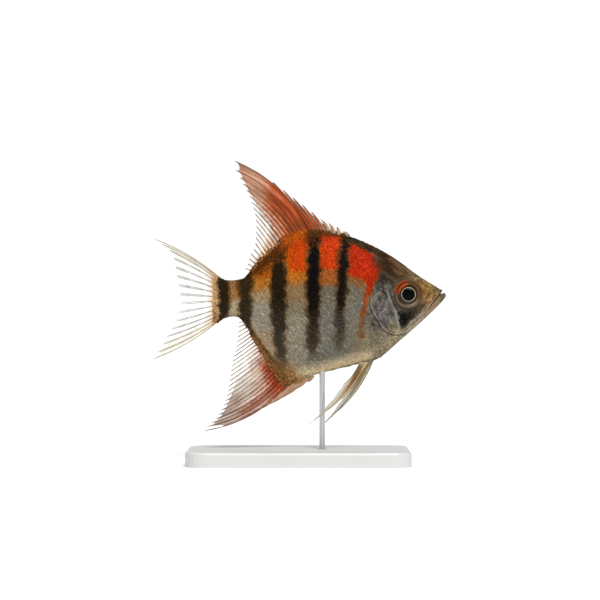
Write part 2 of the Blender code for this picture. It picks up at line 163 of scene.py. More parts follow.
# Folds and plates of the head, drawn on the side view: a line, then marks along it, each with what it
# changes, by how much, how far to the line's left, how wide, and where along the line it fades in and out.
# The pale marks are the bones' pale edges with painted highlights on the raised folds; the shaded marks are
# painted shade in grooves and pits.
HEIGHT, PALE_AND_HIGHLIT, SHADED = 0, 1, 2
COVER_EDGE = [(24.2, 0.5), (22.6, 1.1), (20.6, 0.8), (19.3, -0.6), (19.2, -2.5), (20.0, -4.3), (21.2, -6.4),
              (22.7, -8.6), (24.3, -9.8), (26.5, -10.2), (28.8, -9.8), (31.0, -8.6)]
PREOPERCLE = [(23.2, 4.4), (23.5, 2.4), (24.1, 0.3), (25.1, -2.2), (26.2, -4.6), (26.7, -7.0), (27.2, -9.2)]
MOUTH = [(39.6, 1.7), (38.7, 1.15), (37.5, -0.3), (36.2, -1.8), (35.2, -3.3), (34.4, -4.4)]
FOLDS = [
    # Edge and inner rim of the gill cover.
    (COVER_EDGE, (SHADED, 0.75, -0.12, 0.15, 0.15, 0.9), (SHADED, 0.4, 0.62, 0.24, 0.2, 0.8),
     (HEIGHT, -0.34, -0.14, 0.16, 0.45, 0.8)),
    ([(22.6, 0.6), (21.0, -0.4), (20.4, -1.9), (20.8, -3.9), (22.0, -6.1), (23.6, -8.2), (25.4, -9.1)],
     (SHADED, 0.25, 0.3, 0.3), (HEIGHT, -0.04, 0.32, 0.25)),
    (PREOPERCLE, (PALE_AND_HIGHLIT, 0.16, -0.1, 0.5, 0.25, 0.8), (SHADED, 0.55, 0.75, 0.3), (SHADED, 0.45, -0.8, 0.3),
     (HEIGHT, 0.20, 0.0, 0.26), (HEIGHT, -0.16, -0.5, 0.26), (HEIGHT, -0.12, 0.55, 0.22)),
    # Fold behind the eye and the cheek's lower edge.
    ([(24.6, 1.4), (25.2, -1.0), (26.3, -3.2), (27.3, -4.6)], (SHADED, 0.6, 0.0, 0.18, 0.1, 0.6),
     (HEIGHT, 0.10, -0.28, 0.18), (HEIGHT, -0.18, 0.0, 0.16)),
    ([(27.4, -8.8), (28.9, -7.6), (30.6, -6.6), (32.6, -4.9), (34.2, -3.0)], (HEIGHT, -0.14, 0.0, 0.3)),
    # Upper jaw bone.
    ([(37.9, 1.7), (36.9, 0.2), (35.6, -1.5), (34.3, -3.3), (33.5, -4.6)],
     (SHADED, 0.45, 0.0, 0.14, 0.2, 0.85), (HEIGHT, 0.10, 0.3, 0.3, 0.2, 0.85),
     (HEIGHT, -0.20, 0.0, 0.15, 0.2, 0.85)),
]
# Folds along the lower jaw: depth, width and line.
for depth, width, jaw_line in (
        (0.24, 0.15, [(34.4, -4.4), (33.2, -5.5), (31.9, -6.5), (30.3, -7.9), (28.3, -9.6)]),
        (0.12, 0.14, [(38.6, -0.6), (36.9, -2.5), (34.6, -4.9), (32.2, -7.1), (29.6, -9.3), (27.6, -11.0)]),
        (0.10, 0.16, [(36.0, -4.1), (33.6, -6.4), (31.0, -8.7), (28.6, -10.7)])):
    FOLDS.append((jaw_line, (HEIGHT, 0.5 * depth, 0.34, 0.2), (HEIGHT, -depth, 0.0, width),
                  (PALE_AND_HIGHLIT, 2.6 * depth, 0.36, 0.16, 0.2, 0.8), (SHADED, 2.2 * depth, 0.0, width)))
NOSTRIL = (33.6, 3.8)
HEAD_PORES = ((35.6, 2.7), (34.9, 0.8), (34.2, -1.3), (31.6, 6.0), (28.7, 7.3), (25.6, 8.4), (33.0, -2.9))


def from_eye_middle(x, z):
    return np.hypot(x - EYE_X, z - EYE_ABOVE_AXIS)


def head_relief(x, z):
    """Height in millimetres of the head's folds, plates and lips over the plain loft, the pale bone edges
    with painted highlights on their raised parts, and the painted shade in their grooves and pits."""
    made = np.zeros((3, *x.shape))
    for fold, *marks in FOLDS:
        off, along = beside_line(fold, x, z)
        for kind, amount, left, width, *fades in marks:
            made[kind] += amount * ridge(off - left, width) * ends_off(along, *fades)
    height, pale_and_highlit, shaded = made
    edge, along = beside_line(COVER_EDGE, x, z)
    fade = ends_off(along, 0.45, 0.8)
    uneven = 0.6 + 0.25 * np.sin(34.0 * along) + 0.15 * np.sin(57.0 * along + 1.0)
    pale_and_highlit += 1.1 * uneven * ridge(edge - 0.24, 0.12) * ends_off(along, 0.46, 0.82)
    height += 0.20 * rise(edge, 0.0, 0.22) * rise(edge, 5.5, 1.5) * fade * (edge > 0)
    height += 0.05 * uneven * ridge(edge - 0.30, 0.2) * fade
    bone, along = beside_line(PREOPERCLE, x, z)
    pale_and_highlit += (0.325 + 0.175 * np.sin(21.0 * along + 1.0)) * ridge(bone, 0.22) * ends_off(along, 0.25, 0.8)
    mouth, along = beside_line(MOUTH, x, z)
    lips = rise(along, 0.75, 0.15)
    shaded += 0.9 * ridge(mouth, 0.2) * rise(along, 1.0, 0.8)
    height += 0.26 * lips * (ridge(mouth - 0.55, 0.34) + ridge(mouth + 0.6, 0.36))
    height -= (0.75 * lips + 0.32) * ridge(mouth, 0.17 + 0.08 * lips) * rise(along, 1.0, 0.9)
    nostril = np.hypot(x - NOSTRIL[0], (z - NOSTRIL[1]) * 1.3)
    height += 0.10 * ridge(nostril - 0.5, 0.16) - 0.5 * ridge(nostril, 0.3)
    shaded += 0.7 * ridge(nostril, 0.28)
    for pore_x, pore_z in HEAD_PORES:
        pore = np.hypot(x - pore_x, z - pore_z)
        height -= 0.14 * ridge(pore, 0.15)
        shaded += 0.5 * ridge(pore, 0.16)
    for orbit_radius, amount, width in ((3.72, 0.20, 0.24), (4.2, -0.12, 0.2), (4.6, 0.07, 0.25)):
        height += amount * ridge(from_eye_middle(x, z) - orbit_radius, width)
    return made


def socket_depth(x, z):
    """How far the skin sinks behind the eyeball, in millimetres."""
    return SOCKET_DEPTH * rise(from_eye_middle(x, z), 3.46, 2.9)


def grid_normals(points):
    """Outward directions of a ring-by-ring grid of skin points."""
    along = np.gradient(points, axis=0)
    around = np.roll(points, -1, axis=1) - np.roll(points, 1, axis=1)
    normals = np.cross(along, around)
    return normals / np.maximum(np.linalg.norm(normals, axis=2, keepdims=True), 1e-9)


def shown(name, data):
    """Puts a mesh, lamp or camera in the scene."""
    piece = bpy.data.objects.new(name, data)
    bpy.context.scene.collection.objects.link(piece)
    return piece


def mesh_object(name, points, faces, smooth=True, edges=()):
    """A mesh object from points in metres."""
    mesh = bpy.data.meshes.new(name)
    mesh.from_pydata([tuple(point) for point in points], edges, [tuple(face) for face in faces])
    if smooth:
        mesh.shade_smooth()
    return shown(name, mesh)


head_share = np.linspace(0.0, 1.0, HEAD_STATIONS, endpoint=False)
stations = np.concatenate([jaw_tip_x + (HEAD_END_X - jaw_tip_x) * head_share ** 1.12,
                           np.linspace(HEAD_END_X, SKIN_END_X, TRUNK_STATIONS)])
turns = np.linspace(0.0, 2 * math.pi, RING_POINTS, endpoint=False)
skin_x = np.repeat(stations[:, None], RING_POINTS, axis=1)
skin_turn = np.repeat(turns[None, :], len(stations), axis=0)
skin_y, skin_z = body_point(skin_x, skin_turn)
cusp = ridge(skin_y, 0.45) * np.where(np.cos(skin_turn) > 0, dorsal_foot_at(skin_x), -anal_foot_at(skin_x))
loft = np.stack([skin_x, skin_y, skin_z], axis=2)
outward = grid_normals(loft)
if (outward[:, RING_POINTS // 4, 1] * skin_y[:, RING_POINTS // 4]).sum() < 0:
    outward = -outward
in_head = skin_x > RELIEF_START_X
relief, pale_and_highlit, shaded = np.zeros((3, *skin_x.shape))
relief[in_head], pale_and_highlit[in_head], shaded[in_head] = head_relief(skin_x[in_head], skin_z[in_head])
relief = np.minimum(relief, SKIN_DEPTH + FOLD_LIMIT)
loft = loft + outward * (relief - SKIN_DEPTH)[..., None]
sunk = socket_depth(skin_x, skin_z) * rise(np.abs(skin_y), 1.0, 2.5)
loft[..., 1] -= np.sign(skin_y) * sunk
loft[..., 2] += cusp
skin_points = placed(loft[..., 0], loft[..., 1], loft[..., 2])


def turned_outward(piece):
    """Turns a closed piece's faces outward."""
    builder = bmesh.new()
    builder.from_mesh(piece.data)
    bmesh.ops.recalc_face_normals(builder, faces=builder.faces)
    if builder.calc_volume(signed=True) < 0:
        bmesh.ops.reverse_faces(builder, faces=builder.faces)
    builder.to_mesh(piece.data)
    builder.free()
    return piece


def grid_faces(index, wrapped=True):
    """Quads between neighbours in a grid of point numbers, wrapped round in its second direction."""
    if wrapped:
        index = np.column_stack([index, index[:, 0]])
    return np.stack([index[:-1, :-1], index[:-1, 1:], index[1:, 1:], index[1:, :-1]], axis=2).reshape(-1, 4)


def ringed_mesh(name, rings, ends):
    """A closed mesh over rings of points, with one more point at either end."""
    rows, columns = rings.shape[:2]
    index = np.arange(rows * columns).reshape(rows, columns)
    faces = [tuple(quad) for quad in grid_faces(index).tolist()]
    faces += [(rows * columns, b, a) for a, b in zip(index[0], np.roll(index[0], -1))]
    faces += [(rows * columns + 1, a, b) for a, b in zip(index[-1], np.roll(index[-1], -1))]
    return turned_outward(mesh_object(name, [*rings.reshape(-1, 3), *ends], faces))


def sheet_mesh(name, top, low):
    """A closed plate between two like grids of points."""
    grid = np.arange(top.size // 3).reshape(top.shape[:2])
    cells = grid_faces(grid.T, wrapped=False)
    rim = np.array([*grid[0, :-1], *grid[:-1, -1], *grid[-1, :0:-1], *grid[:0:-1, 0]])
    following = np.roll(rim, -1)
    walls = np.column_stack([rim, following, following + grid.size, rim + grid.size])
    faces = [*cells, *(cells[:, ::-1] + grid.size), *walls]
    return turned_outward(mesh_object(name, [*top.reshape(-1, 3), *low.reshape(-1, 3)], faces))


rows, columns = skin_x.shape
skin = ringed_mesh("skin", skin_points, [skin_points[0].mean(axis=0), skin_points[-1].mean(axis=0)])


def add_values(mesh, name, values):
    """Stores a number, a pair or a vector for each point of a mesh."""
    values = np.array(values, dtype=np.float32)
    kind = "FLOAT" if values.ndim == 1 else {2: "FLOAT2", 3: "FLOAT_VECTOR"}[values.shape[1]]
    made = mesh.attributes.new(name, kind, "POINT")
    made.data.foreach_set("value" if values.ndim == 1 else "vector", values.ravel())


# The head's painted highlights on raised folds, partly pale bone, and its painted shade in grooves and pits.
add_values(skin.data, "pale_and_highlit", np.clip([*pale_and_highlit.ravel(), 0.0, 0.0], 0.0, 1.0))
add_values(skin.data, "shaded", np.clip([*shaded.ravel(), 0.0, 0.0], 0.0, 1.0))


def corner_numbers(mesh):
    """The number of the point at each face corner."""
    numbers = np.zeros(len(mesh.loops), dtype=int)
    mesh.loops.foreach_get("vertex_index", numbers)
    return numbers


def lay_map(piece, spots, beside=0.0):
    """Gives a piece its bake map: each face corner's place on the unwrapped skin, and how far beside it."""
    layer = piece.data.uv_layers.new(name="OFBake")
    layer.uv.foreach_set("vector", (0.005 + 0.99 * spots + beside).astype(np.float32).ravel())


corners = corner_numbers(skin.data)
corner_turn = np.where(corners < rows * columns, (corners % columns) / columns, 0.5)
starts = np.zeros(len(skin.data.polygons), dtype=int)
skin.data.polygons.foreach_get("loop_start", starts)
highest, lowest = (pick.reduceat(corner_turn, starts) for pick in (np.maximum, np.minimum))
wrapped = (highest > 0.75) & (lowest < 0.25)
wrapped = np.repeat(wrapped, np.diff([*starts, len(corners)]))
corner_turn += wrapped & (corner_turn < 0.25)
lay_map(skin, np.column_stack([np.minimum(corners // columns, rows - 1) / (rows - 1), corner_turn]))


# ---------------------------------------------------------------- markings
# Colour of the living fish, the same in skin and scales: silver-grey flanks with dark upright bars,
# orange-red patches below the back, a golden rear and belly, and an olive snout.
def card(tone):
    """A paint card's three 0-255 values as a linear colour; anything else as it is."""
    if not isinstance(tone, tuple) or len(tone) != 3:
        return tone
    parts = [part / 255 for part in tone]
    return (*[part / 12.92 if part < 0.04 else ((part + 0.055) / 1.055) ** 2.4 for part in parts], 1.0)


class Wiring:
    """Adds nodes to a node tree; most methods give back an output socket. A mask is a number, a socket,
    (value, low, high) for a rise, or (value, low, high, softness) for a window."""

    def __init__(self, tree):
        self.tree = tree
        self.colour = None

    def fill(self, node, inputs):
        for socket, value in inputs.items():
            if isinstance(value, bpy.types.NodeSocket):
                self.tree.links.new(value, node.inputs[socket])
            else:
                node.inputs[socket].default_value = value
        return node

    def node(self, kind, inputs=(), **settings):
        made = self.tree.nodes.new(kind)
        for name, value in settings.items():
            setattr(made, name, value)
        return self.fill(made, dict(inputs))

    def calc(self, operation, *parts):
        return self.node("ShaderNodeMath", dict(enumerate(parts)), operation=operation).outputs[0]

    def line(self, value, slope, rest):
        return self.calc("MULTIPLY_ADD", value, slope, rest)

    def minus(self, value, taken):
        return self.calc("SUBTRACT", value, taken)

    def distance(self, one, two):
        return self.calc("SQRT", self.calc("ADD", self.product(one, one), self.product(two, two)))

    def ramp(self, value, low, high, at_low, at_high):
        """A straight ramp between two values, level outside them."""
        inputs = {"Value": value, "From Min": low, "From Max": high, "To Min": at_low, "To Max": at_high}
        return self.node("ShaderNodeMapRange", inputs).outputs[0]

    def rise(self, value, low, high):
        inputs = {"Value": value, "From Min": low, "From Max": high}
        return self.node("ShaderNodeMapRange", inputs, interpolation_type="SMOOTHSTEP").outputs[0]

    def window(self, value, low, high, soft):
        return self.product((value, low - soft, low + soft), (value, high + soft, high - soft))

    def product(self, *masks):
        total = None
        for mask in masks:
            if isinstance(mask, tuple):
                mask = self.rise(*mask) if len(mask) == 3 else self.window(*mask)
            total = mask if total is None else self.calc("MULTIPLY", total, mask)
        return total

    def blend(self, mask, under, over):
        inputs = {0: self.product(mask), 6: card(under), 7: card(over)}
        return self.node("ShaderNodeMix", inputs, data_type="RGBA").outputs[2]

    def lay(self, tone, *masks):
        """Lays a tone over the colour so far."""
        self.colour = self.blend(self.product(*masks), self.colour, tone)

    def dim(self, by):
        """Scales the colour so far."""
        inputs = {0: self.colour, "Scale": by}
        self.colour = self.node("ShaderNodeVectorMath", inputs, operation="SCALE").outputs[0]

    def vector(self, operation, *parts):
        return self.node("ShaderNodeVectorMath", dict(enumerate(parts)), operation=operation).outputs[0]

    def hue_parts(self):
        """Hue, richness and lightness of the colour so far."""
        return self.node("ShaderNodeSeparateColor", {0: self.colour}, mode="HSV").outputs

    def mapped(self, place, **inputs):
        return self.node("ShaderNodeMapping", {"Vector": place, **inputs}).outputs[0]

    def noise(self, place, scale, detail=3.0, rough=0.55, stretch=None, output="Fac"):
        if stretch:
            place = self.mapped(place, Scale=stretch)
        inputs = {"Vector": place, "Scale": scale, "Detail": detail, "Roughness": rough}
        return self.node("ShaderNodeTexNoise", inputs).outputs[output]

    def axes(self, vector):
        return self.node("ShaderNodeSeparateXYZ", {0: vector}).outputs

    def joined(self, x, y):
        return self.node("ShaderNodeCombineXYZ", {0: x, 1: y}).outputs[0]

    def read(self, name, output="Fac"):
        return self.node("ShaderNodeAttribute", attribute_name=name).outputs[output]

    def bump(self, height, strength, distance):
        inputs = {"Height": height, "Strength": strength, "Distance": distance}
        return self.node("ShaderNodeBump", inputs).outputs[0]

    def grouped(self, group, **inputs):
        """Places a node group; gives back its outputs by name."""
        return self.node("ShaderNodeGroup", inputs, node_tree=group).outputs

    def own_place(self):
        return self.node("ShaderNodeTexCoord").outputs["Object"]

    def fish_place(self):
        """Millimetres from the eye-to-tail axis."""
        return self.mapped(self.own_place(), Location=(0.0, 0.0, -AXIS_HEIGHT), Scale=(1 / MM,) * 3)

    def dress(self, **inputs):
        """Links or sets the inputs of a material's Principled shader."""
        inputs = {name.replace("_", " "): value for name, value in inputs.items()}
        self.fill(self.tree.nodes["Principled BSDF"], inputs)


def new_group(name, inputs, outputs, kind="ShaderNodeTree"):
    """An empty node group, its input sockets and its output node."""
    group = bpy.data.node_groups.new(name, kind)
    for way, sockets in (("INPUT", inputs), ("OUTPUT", outputs)):
        for socket, value_kind in sockets.items():
            group.interface.new_socket(socket, in_out=way, socket_type="NodeSocket" + value_kind)
    return group, group.nodes.new("NodeGroupInput").outputs, group.nodes.new("NodeGroupOutput")


markings, entry, result = new_group("body markings", {"Place": "Vector"},
                                    {"Color": "Color", "Silver": "Float"})
wire = Wiring(markings)
calc, line, product, blend, lay = wire.calc, wire.line, wire.product, wire.blend, wire.lay
place = entry["Place"]


def wandering(place, scale, detail, reach, upright=1.0):
    """The place moved about by a noise, up to half the reach each way."""
    drift = wire.noise(place, scale, detail, 0.5, (1.0, 1.0, upright), "Color")
    return wire.vector("MULTIPLY_ADD", wire.vector("ADD", drift, (-0.5,) * 3), (reach,) * 3, place)


# Edges of every marking wander broadly, and fray scale by scale.
x, _, z = wire.axes(wandering(wandering(place, 0.33, 2.0, 2.5), 1.5, 4.0, 1.8, 0.6))
plain_x, _, plain_z = wire.axes(place)


def inside(corners, soft):
    """1 within a patch with straight sides and rounded corners, falling to 0 over its soft edge."""
    depth = None
    area = sum(a[0] * b[1] - b[0] * a[1] for a, b in zip(corners, corners[1:] + corners[:1]))
    for (start_x, start_z), (end_x, end_z) in zip(corners, corners[1:] + corners[:1]):
        run_x, run_z = end_x - start_x, end_z - start_z
        length = math.copysign(math.hypot(run_x, run_z), area)
        off = line(x, -run_z / length, (run_z * start_x - run_x * start_z) / length)
        off = line(z, run_x / length, off)
        depth = off if depth is None else calc("SMOOTH_MIN", depth, off, 1.0)
    return wire.rise(depth, -soft, soft)


# Height over the belly's edge and depth under the back's edge, from three straight runs of each.
belly_edge = calc("MAXIMUM", line(plain_x, 0.927, -36.9), line(plain_x, 0.275, -22.5))
belly_edge = calc("MAXIMUM", belly_edge, line(plain_x, -1.385, -26.5))
over_belly = line(wire.rise(plain_x, -12.5, -14.5), 9.0, wire.minus(plain_z, belly_edge))
back_edge = calc("MINIMUM", line(plain_x, -0.62, 26.0), line(plain_x, 0.80, 16.6))
under_back = wire.minus(calc("MINIMUM", back_edge, 17.6), plain_z)

# Ground colour: cool silver-grey, warmer towards the tail, golden cream along the belly, laid lighter there
# as painted light against the shade under the belly's curve.
mottle = wire.noise(place, 1.1, 4.0, 0.65)
wire.colour = blend((z, 3.0, -6.0), (108, 100, 86), (115, 113, 103))
lay((140, 131, 114), (x, 4.5, -0.5), (z, 1.0, -8.0))
lay((126, 109, 84), (x, 4.5, -0.5), (z, -8.0, 1.0))
lay((148, 132, 106), (x, -3.0, -8.0))
lay((142, 136, 122), (x, -4.0, -8.0), (z, -9.5, -0.5, 2.0))
lay((133, 122, 98), (x, 11.5, 16.5), (z, -3.5, -9.0))
# Golden cream belly, partly its own colour and partly painted light against the shade under its curve.
lay((206, 186, 150), (over_belly, 4.6, 0.9), line(wire.rise(x, -7.0, -2.0), 0.5, 0.5))
lay((150, 108, 66), (x, 2.0, -4.0), (over_belly, 1.8, -0.4))
lay((142, 116, 82), (mottle, 0.48, 0.70), line(wire.rise(x, 4.0, -3.0), 0.3, 0.18))
lay((98, 58, 34), (under_back, 5.4, 3.4), (x, -4.0, 19.0, 1.0), 0.9)


def box(left, low, right, high):
    return (left, low), (right, low), (right, high), (left, high)


# Patches: corners, edge softness, tone and strength.
PATCHES = (
    ("tan rear", box(-13.8, -2.2, -6.0, 2.6), 2.0, (156, 128, 88), 0.6),
    ("golden rear", ((-13.6, 1.6), (-6.0, 1.6), (-6.0, 11.0), (-9.6, 11.0), (-13.6, 6.0)), 1.5,
     (174, 112, 48), 0.95),
    ("orange rear", ((-11.8, 5.2), (-6.6, 5.8), (-7.2, 9.6), (-9.4, 9.4)), 0.8, (182, 88, 30), 0.75),
    ("tan middle", box(-3.2, -1.0, 2.6, 4.4), 1.8, (142, 114, 78), 0.7),
    ("golden middle", ((-3.6, 3.6), (2.6, 3.9), (2.6, 9.0), (-3.6, 9.0)), 1.4, (180, 108, 42), 0.95),
    ("rust middle", ((5.5, 3.1), (11.0, 2.9), (11.0, 8.6), (5.5, 8.6)), 1.1, (162, 90, 46), 0.95),
    ("tan nape", ((13.4, 3.6), (17.0, 2.4), (18.0, 6.0), (13.4, 7.0)), 0.7, (142, 92, 56), 0.7),
    ("orange back", ((-4.6, 9.6), (-2.2, 8.4), (2.4, 14.6), (2.4, 22.0), (-7.0, 17.0)), 0.8,
     (188, 94, 38), 0.95),
    ("red rear", ((-2.5, 7.3), (2.4, 7.3), (2.4, 15.4), (-0.7, 15.4), (-2.5, 13.4)), 1.0, (200, 76, 11), 1.0),
    ("red middle", ((5.5, 7.3), (11.2, 7.3), (11.2, 17.4), (5.7, 17.4)), 0.8, (198, 66, 9), 1.0),
    ("red nape", ((13.1, 6.0), (18.0, 4.4), (21.0, 4.8), (23.0, 7.6), (20.0, 11.6), (16.0, 14.4),
                  (13.1, 14.4)), 0.8, (182, 52, 8), 1.0),
    ("red wedge", ((17.3, 5.6), (18.1, 0.4), (19.5, 0.4), (21.6, 5.8)), 0.6, (164, 50, 13), 1.0),
    ("red streak", ((18.1, 1.6), (16.4, -5.6), (17.9, -5.6), (19.2, 1.6)), 0.5, (146, 66, 34), 0.9),
    ("rusty streak", ((16.5, -4.4), (15.8, -10.9), (17.3, -10.9), (17.9, -4.4)), 0.5, (138, 84, 38), 0.9),
    ("anal foot", ((-7.0, -18.6), (-2.0, -26.0), (4.0, -25.0), (1.0, -20.8), (-4.5, -16.6)), 1.6,
     (156, 110, 66), 0.8),
    ("brown stalk", box(-19.6, -1.6, -15.2, 8.0), 0.7, (164, 126, 82), 1.0),
    ("cream stalk", box(-19.6, -9.0, -15.2, -1.4), 0.9, (172, 156, 126), 1.0),
    ("rust by the stalk bar", box(-16.6, -0.8, -15.4, 5.2), 0.5,
     (112, 66, 38), 0.8),
    ("tail foot", box(-28.0, -9.0, -21.5, 9.0), 0.9, (226, 196, 152), 1.0),
    ("orange tail foot", box(-28.0, -9.0, -22.6, 9.0), 0.8, (230, 172, 112), 0.8),
)
for _, corners, soft, tone, strength in PATCHES:
    lay(tone, inside(corners, soft), strength)
# The red patches are grained with deeper and more orange scales.
grain = wire.noise(place, 1.5, 4.0, 0.75, (1.0, 1.0, 0.4))
richness = wire.hue_parts()[1]
red = wire.rise(richness, 0.90, 0.985)
ochre = product((richness, 0.6, 0.8), (richness, 0.985, 0.9))
lay((144, 44, 10), red, (grain, 0.56, 0.38), 0.45)
lay((214, 98, 18), red, (grain, 0.52, 0.68), 0.35)
lay((112, 74, 36), ochre, (mottle, 0.56, 0.36), 0.55)
lay((200, 128, 66), ochre, (mottle, 0.56, 0.70), 0.5)

# Dark bars, bristly along their edges and greyer low down: middle, lean and bow with height, half width
# at mid-height and at the ends, height range, fade, tone.
BARS = (
    ("tail root bar", -20.2, 0.0, -0.03, 1.65, 1.25, (-12.0, 12.0), 1.0, (44, 39, 31)),
    ("stalk bar", -14.35, 0.02, 0.0, 1.50, 1.50, (-12.0, 12.0), 1.0, (50, 44, 34)),
    ("rear bar", -5.45, 0.0, 0.003, 2.05, 1.35, (-17.8, 12.6), 3.4, (43, 38, 31)),
    ("middle bar", 4.0, 0.012, 0.0, 1.80, 1.20, (-15.4, 20.0), 3.2, (28, 24, 17)),
    ("front bar", 11.5, 0.056, 0.0, 1.30, 1.05, (-13.0, 20.0), 2.0, (36, 32, 26)),
)
fine = wire.noise(place, 3.4, 3.0, 0.8, (1.0, 1.0, 0.45))
dark = 0.0
for _, middle, lean, bow, half, end_half, (low_z, high_z), fade, tone in BARS:
    off = calc("ABSOLUTE", wire.minus(x, line(z, line(z, bow, lean), middle)))
    width = wire.ramp(calc("ABSOLUTE", wire.minus(z, 1.0)), 3.0, 14.0, half, end_half)
    across = wire.minus(line(fine, 0.9, off), calc("ADD", width, 0.45))
    ends = wire.window(z, low_z, high_z, fade)
    lay((104, 74, 44), (across, 1.3, -0.2), ends, 0.55)
    thin = blend((plain_z, 0.0, -13.0), tone, (62, 57, 50))
    thin = blend(product((mottle, 0.50, 0.70), (plain_z, 6.0, -8.0), 0.4), thin, (88, 82, 72))
    bar = product((across, 0.9, -0.75), ends)
    lay(thin, bar, 0.97)
    dark = calc("MAXIMUM", dark, bar)

# Pale tail foot behind its bar; dusky top of the middle bar; dark back over the rear bar, the edges of the
# rear back
# # and the nape; and a fine line of painted shade along the belly's edge.
lay((216, 170, 122), (x, -21.3, -22.3), 0.86)
lay(blend((mottle, 0.44, 0.60), (52, 38, 25), (106, 64, 32)), (x, 1.6, 6.2, 0.8), (plain_z, 11.5, 16.5), 0.75)
lay(blend((mottle, 0.50, 0.62), (74, 50, 30), (146, 84, 40)),
    (x, -11.4, -3.2, 1.0), (under_back, 3.8, 1.6), 0.85)
lay((88, 54, 30), (x, -13.6, -2.0, 1.2), (under_back, 1.8, 0.5), 0.85)
lay(blend((x, 7.5, 10.5), (88, 58, 36), (66, 58, 49)), (x, 2.0, 3.6), (under_back, 2.0, 0.7), 0.88)
# A fine line of painted shade along the belly's edge.
lay((96, 78, 54), (over_belly, 0.9, 0.2), (x, 33.0, 20.0), 0.4)

# Head: forward and height of a soft round patch, its half sizes, tilt in degrees, tone, strength.
HEAD_TONES = (
    ("nape band", (17.8, 14.6), (6.6, 1.8), -22.0, (64, 54, 44), 0.95),
    ("nape", (25.0, 8.2), (5.6, 3.8), -40.0, (66, 50, 38), 0.98),
    ("behind the eye", (23.6, 3.9), (2.5, 3.4), 12.0, (62, 55, 46), 0.95),
    ("crown", (28.6, 7.5), (4.6, 1.6), -34.0, (118, 86, 60), 0.9),
    ("crown's edge", (30.4, 7.9), (6.0, 0.8), -33.0, (104, 94, 80), 0.8),
    ("forehead", (32.6, 5.4), (5.6, 1.7), -33.0, (102, 88, 66), 0.95),
    ("snout", (35.4, 0.6), (2.9, 4.6), 25.0, (130, 104, 68), 1.0),
    ("snout gold", (34.2, 2.6), (1.3, 1.6), 0.0, (136, 106, 46), 0.75),
    ("snout below", (34.4, -1.4), (1.7, 2.4), 35.0, (160, 120, 82), 0.8),
    ("snout rust", (33.6, 1.0), (0.9, 1.8), 10.0, (142, 98, 60), 0.6),
    ("under the eye", (28.2, -3.7), (3.7, 1.8), -20.0, (62, 56, 52), 0.92),
    ("cheek", (30.4, -4.6), (4.2, 1.8), 30.0, (46, 42, 41), 0.95),
    ("cheek corner", (28.3, -6.9), (1.7, 2.6), 10.0, (36, 34, 32), 0.95),
    ("cheek's lower edge", (31.9, -6.5), (4.4, 0.8), 43.0, (112, 94, 82), 0.6),
    ("cover's front plate", (26.3, -5.4), (0.6, 3.0), 14.0, (128, 132, 126), 0.6),
    ("under the jaw", (27.2, -11.4), (3.2, 1.3), 40.0, (98, 93, 76), 0.6),
    ("breast", (22.4, -14.6), (2.6, 1.8), 30.0, (118, 110, 90), 0.5),
    ("cheek front", (32.9, -3.2), (1.5, 1.0), 40.0, (90, 74, 58), 0.6),
    ("gill cover", (22.9, -4.2), (3.2, 5.4), -28.0, (93, 88, 81), 1.0),
    ("gill cover hollow", (22.0, -3.6), (1.6, 3.0), -24.0, (108, 101, 98), 0.8),
    ("gill cover top", (22.4, 1.4), (1.9, 2.2), 0.0, (84, 82, 74), 0.9),
    ("before the cover's ridge", (26.2, 0.2), (0.9, 3.4), 12.0, (66, 58, 48), 0.8),
    ("ridge glow", (24.0, 1.6), (0.55, 2.2), 8.0, (124, 126, 112), 0.5),
)
for _, (middle_x, middle_z), (half_x, half_z), tilt, tone, strength in HEAD_TONES:
    turn, lift = math.cos(math.radians(tilt)), math.sin(math.radians(tilt))
    off_x, off_z = wire.minus(x, middle_x), wire.minus(z, middle_z)
    along = line(off_x, turn / half_x, product(off_z, lift / half_x))
    aside = line(off_z, turn / half_z, product(off_x, -lift / half_z))
    lay(tone, (wire.distance(along, aside), 1.35, 0.65), strength)

# Rusty and black streaks running down the nape towards the eye.
nape = product((plain_x, 15.0, 19.0), (plain_x, 32.5, 30.0), (plain_z, 3.6, 5.4),
               (wire.hue_parts()[1], 0.86, 0.74))
slanted = wire.mapped(place, Rotation=(0.0, math.radians(-38.0), 0.0))
streaks = wire.noise(slanted, 0.42, 3.0, 0.6, (0.6, 1.0, 1.7))
lay((118, 90, 76), nape, (streaks, 0.48, 0.72), 0.5)
lay((42, 34, 31), nape, (streaks, 0.52, 0.30), 0.6)

# Blue-grey, dark and pinkish clouding over the gill cover and cheek, its pale and blue-grey patches partly
# painted sheen of the wet hide.
clouded = product((x, 18.6, 20.4), (x, 33.5, 30.0), (plain_z, 4.4, 1.6))
cloud = wire.noise(place, 0.75, 4.0, 0.7, (1.25, 1.0, 0.8))
tint = wire.noise(place, 0.55, 3.0, 0.6, (1.0, 1.0, 1.6))
on_cover = wire.rise(x, 27.4, 25.4)
lay((54, 51, 46), clouded, (cloud, 0.50, 0.36), 0.7)
# The pale and blue-grey patches are partly painted sheen of the wet hide.
lay((146, 143, 134), clouded, (cloud, 0.52, 0.66), on_cover, 0.7)
lay((96, 104, 110), clouded, (tint, 0.52, 0.64), 0.2)
lay((132, 110, 96), clouded, (tint, 0.46, 0.36), on_cover, 0.35)

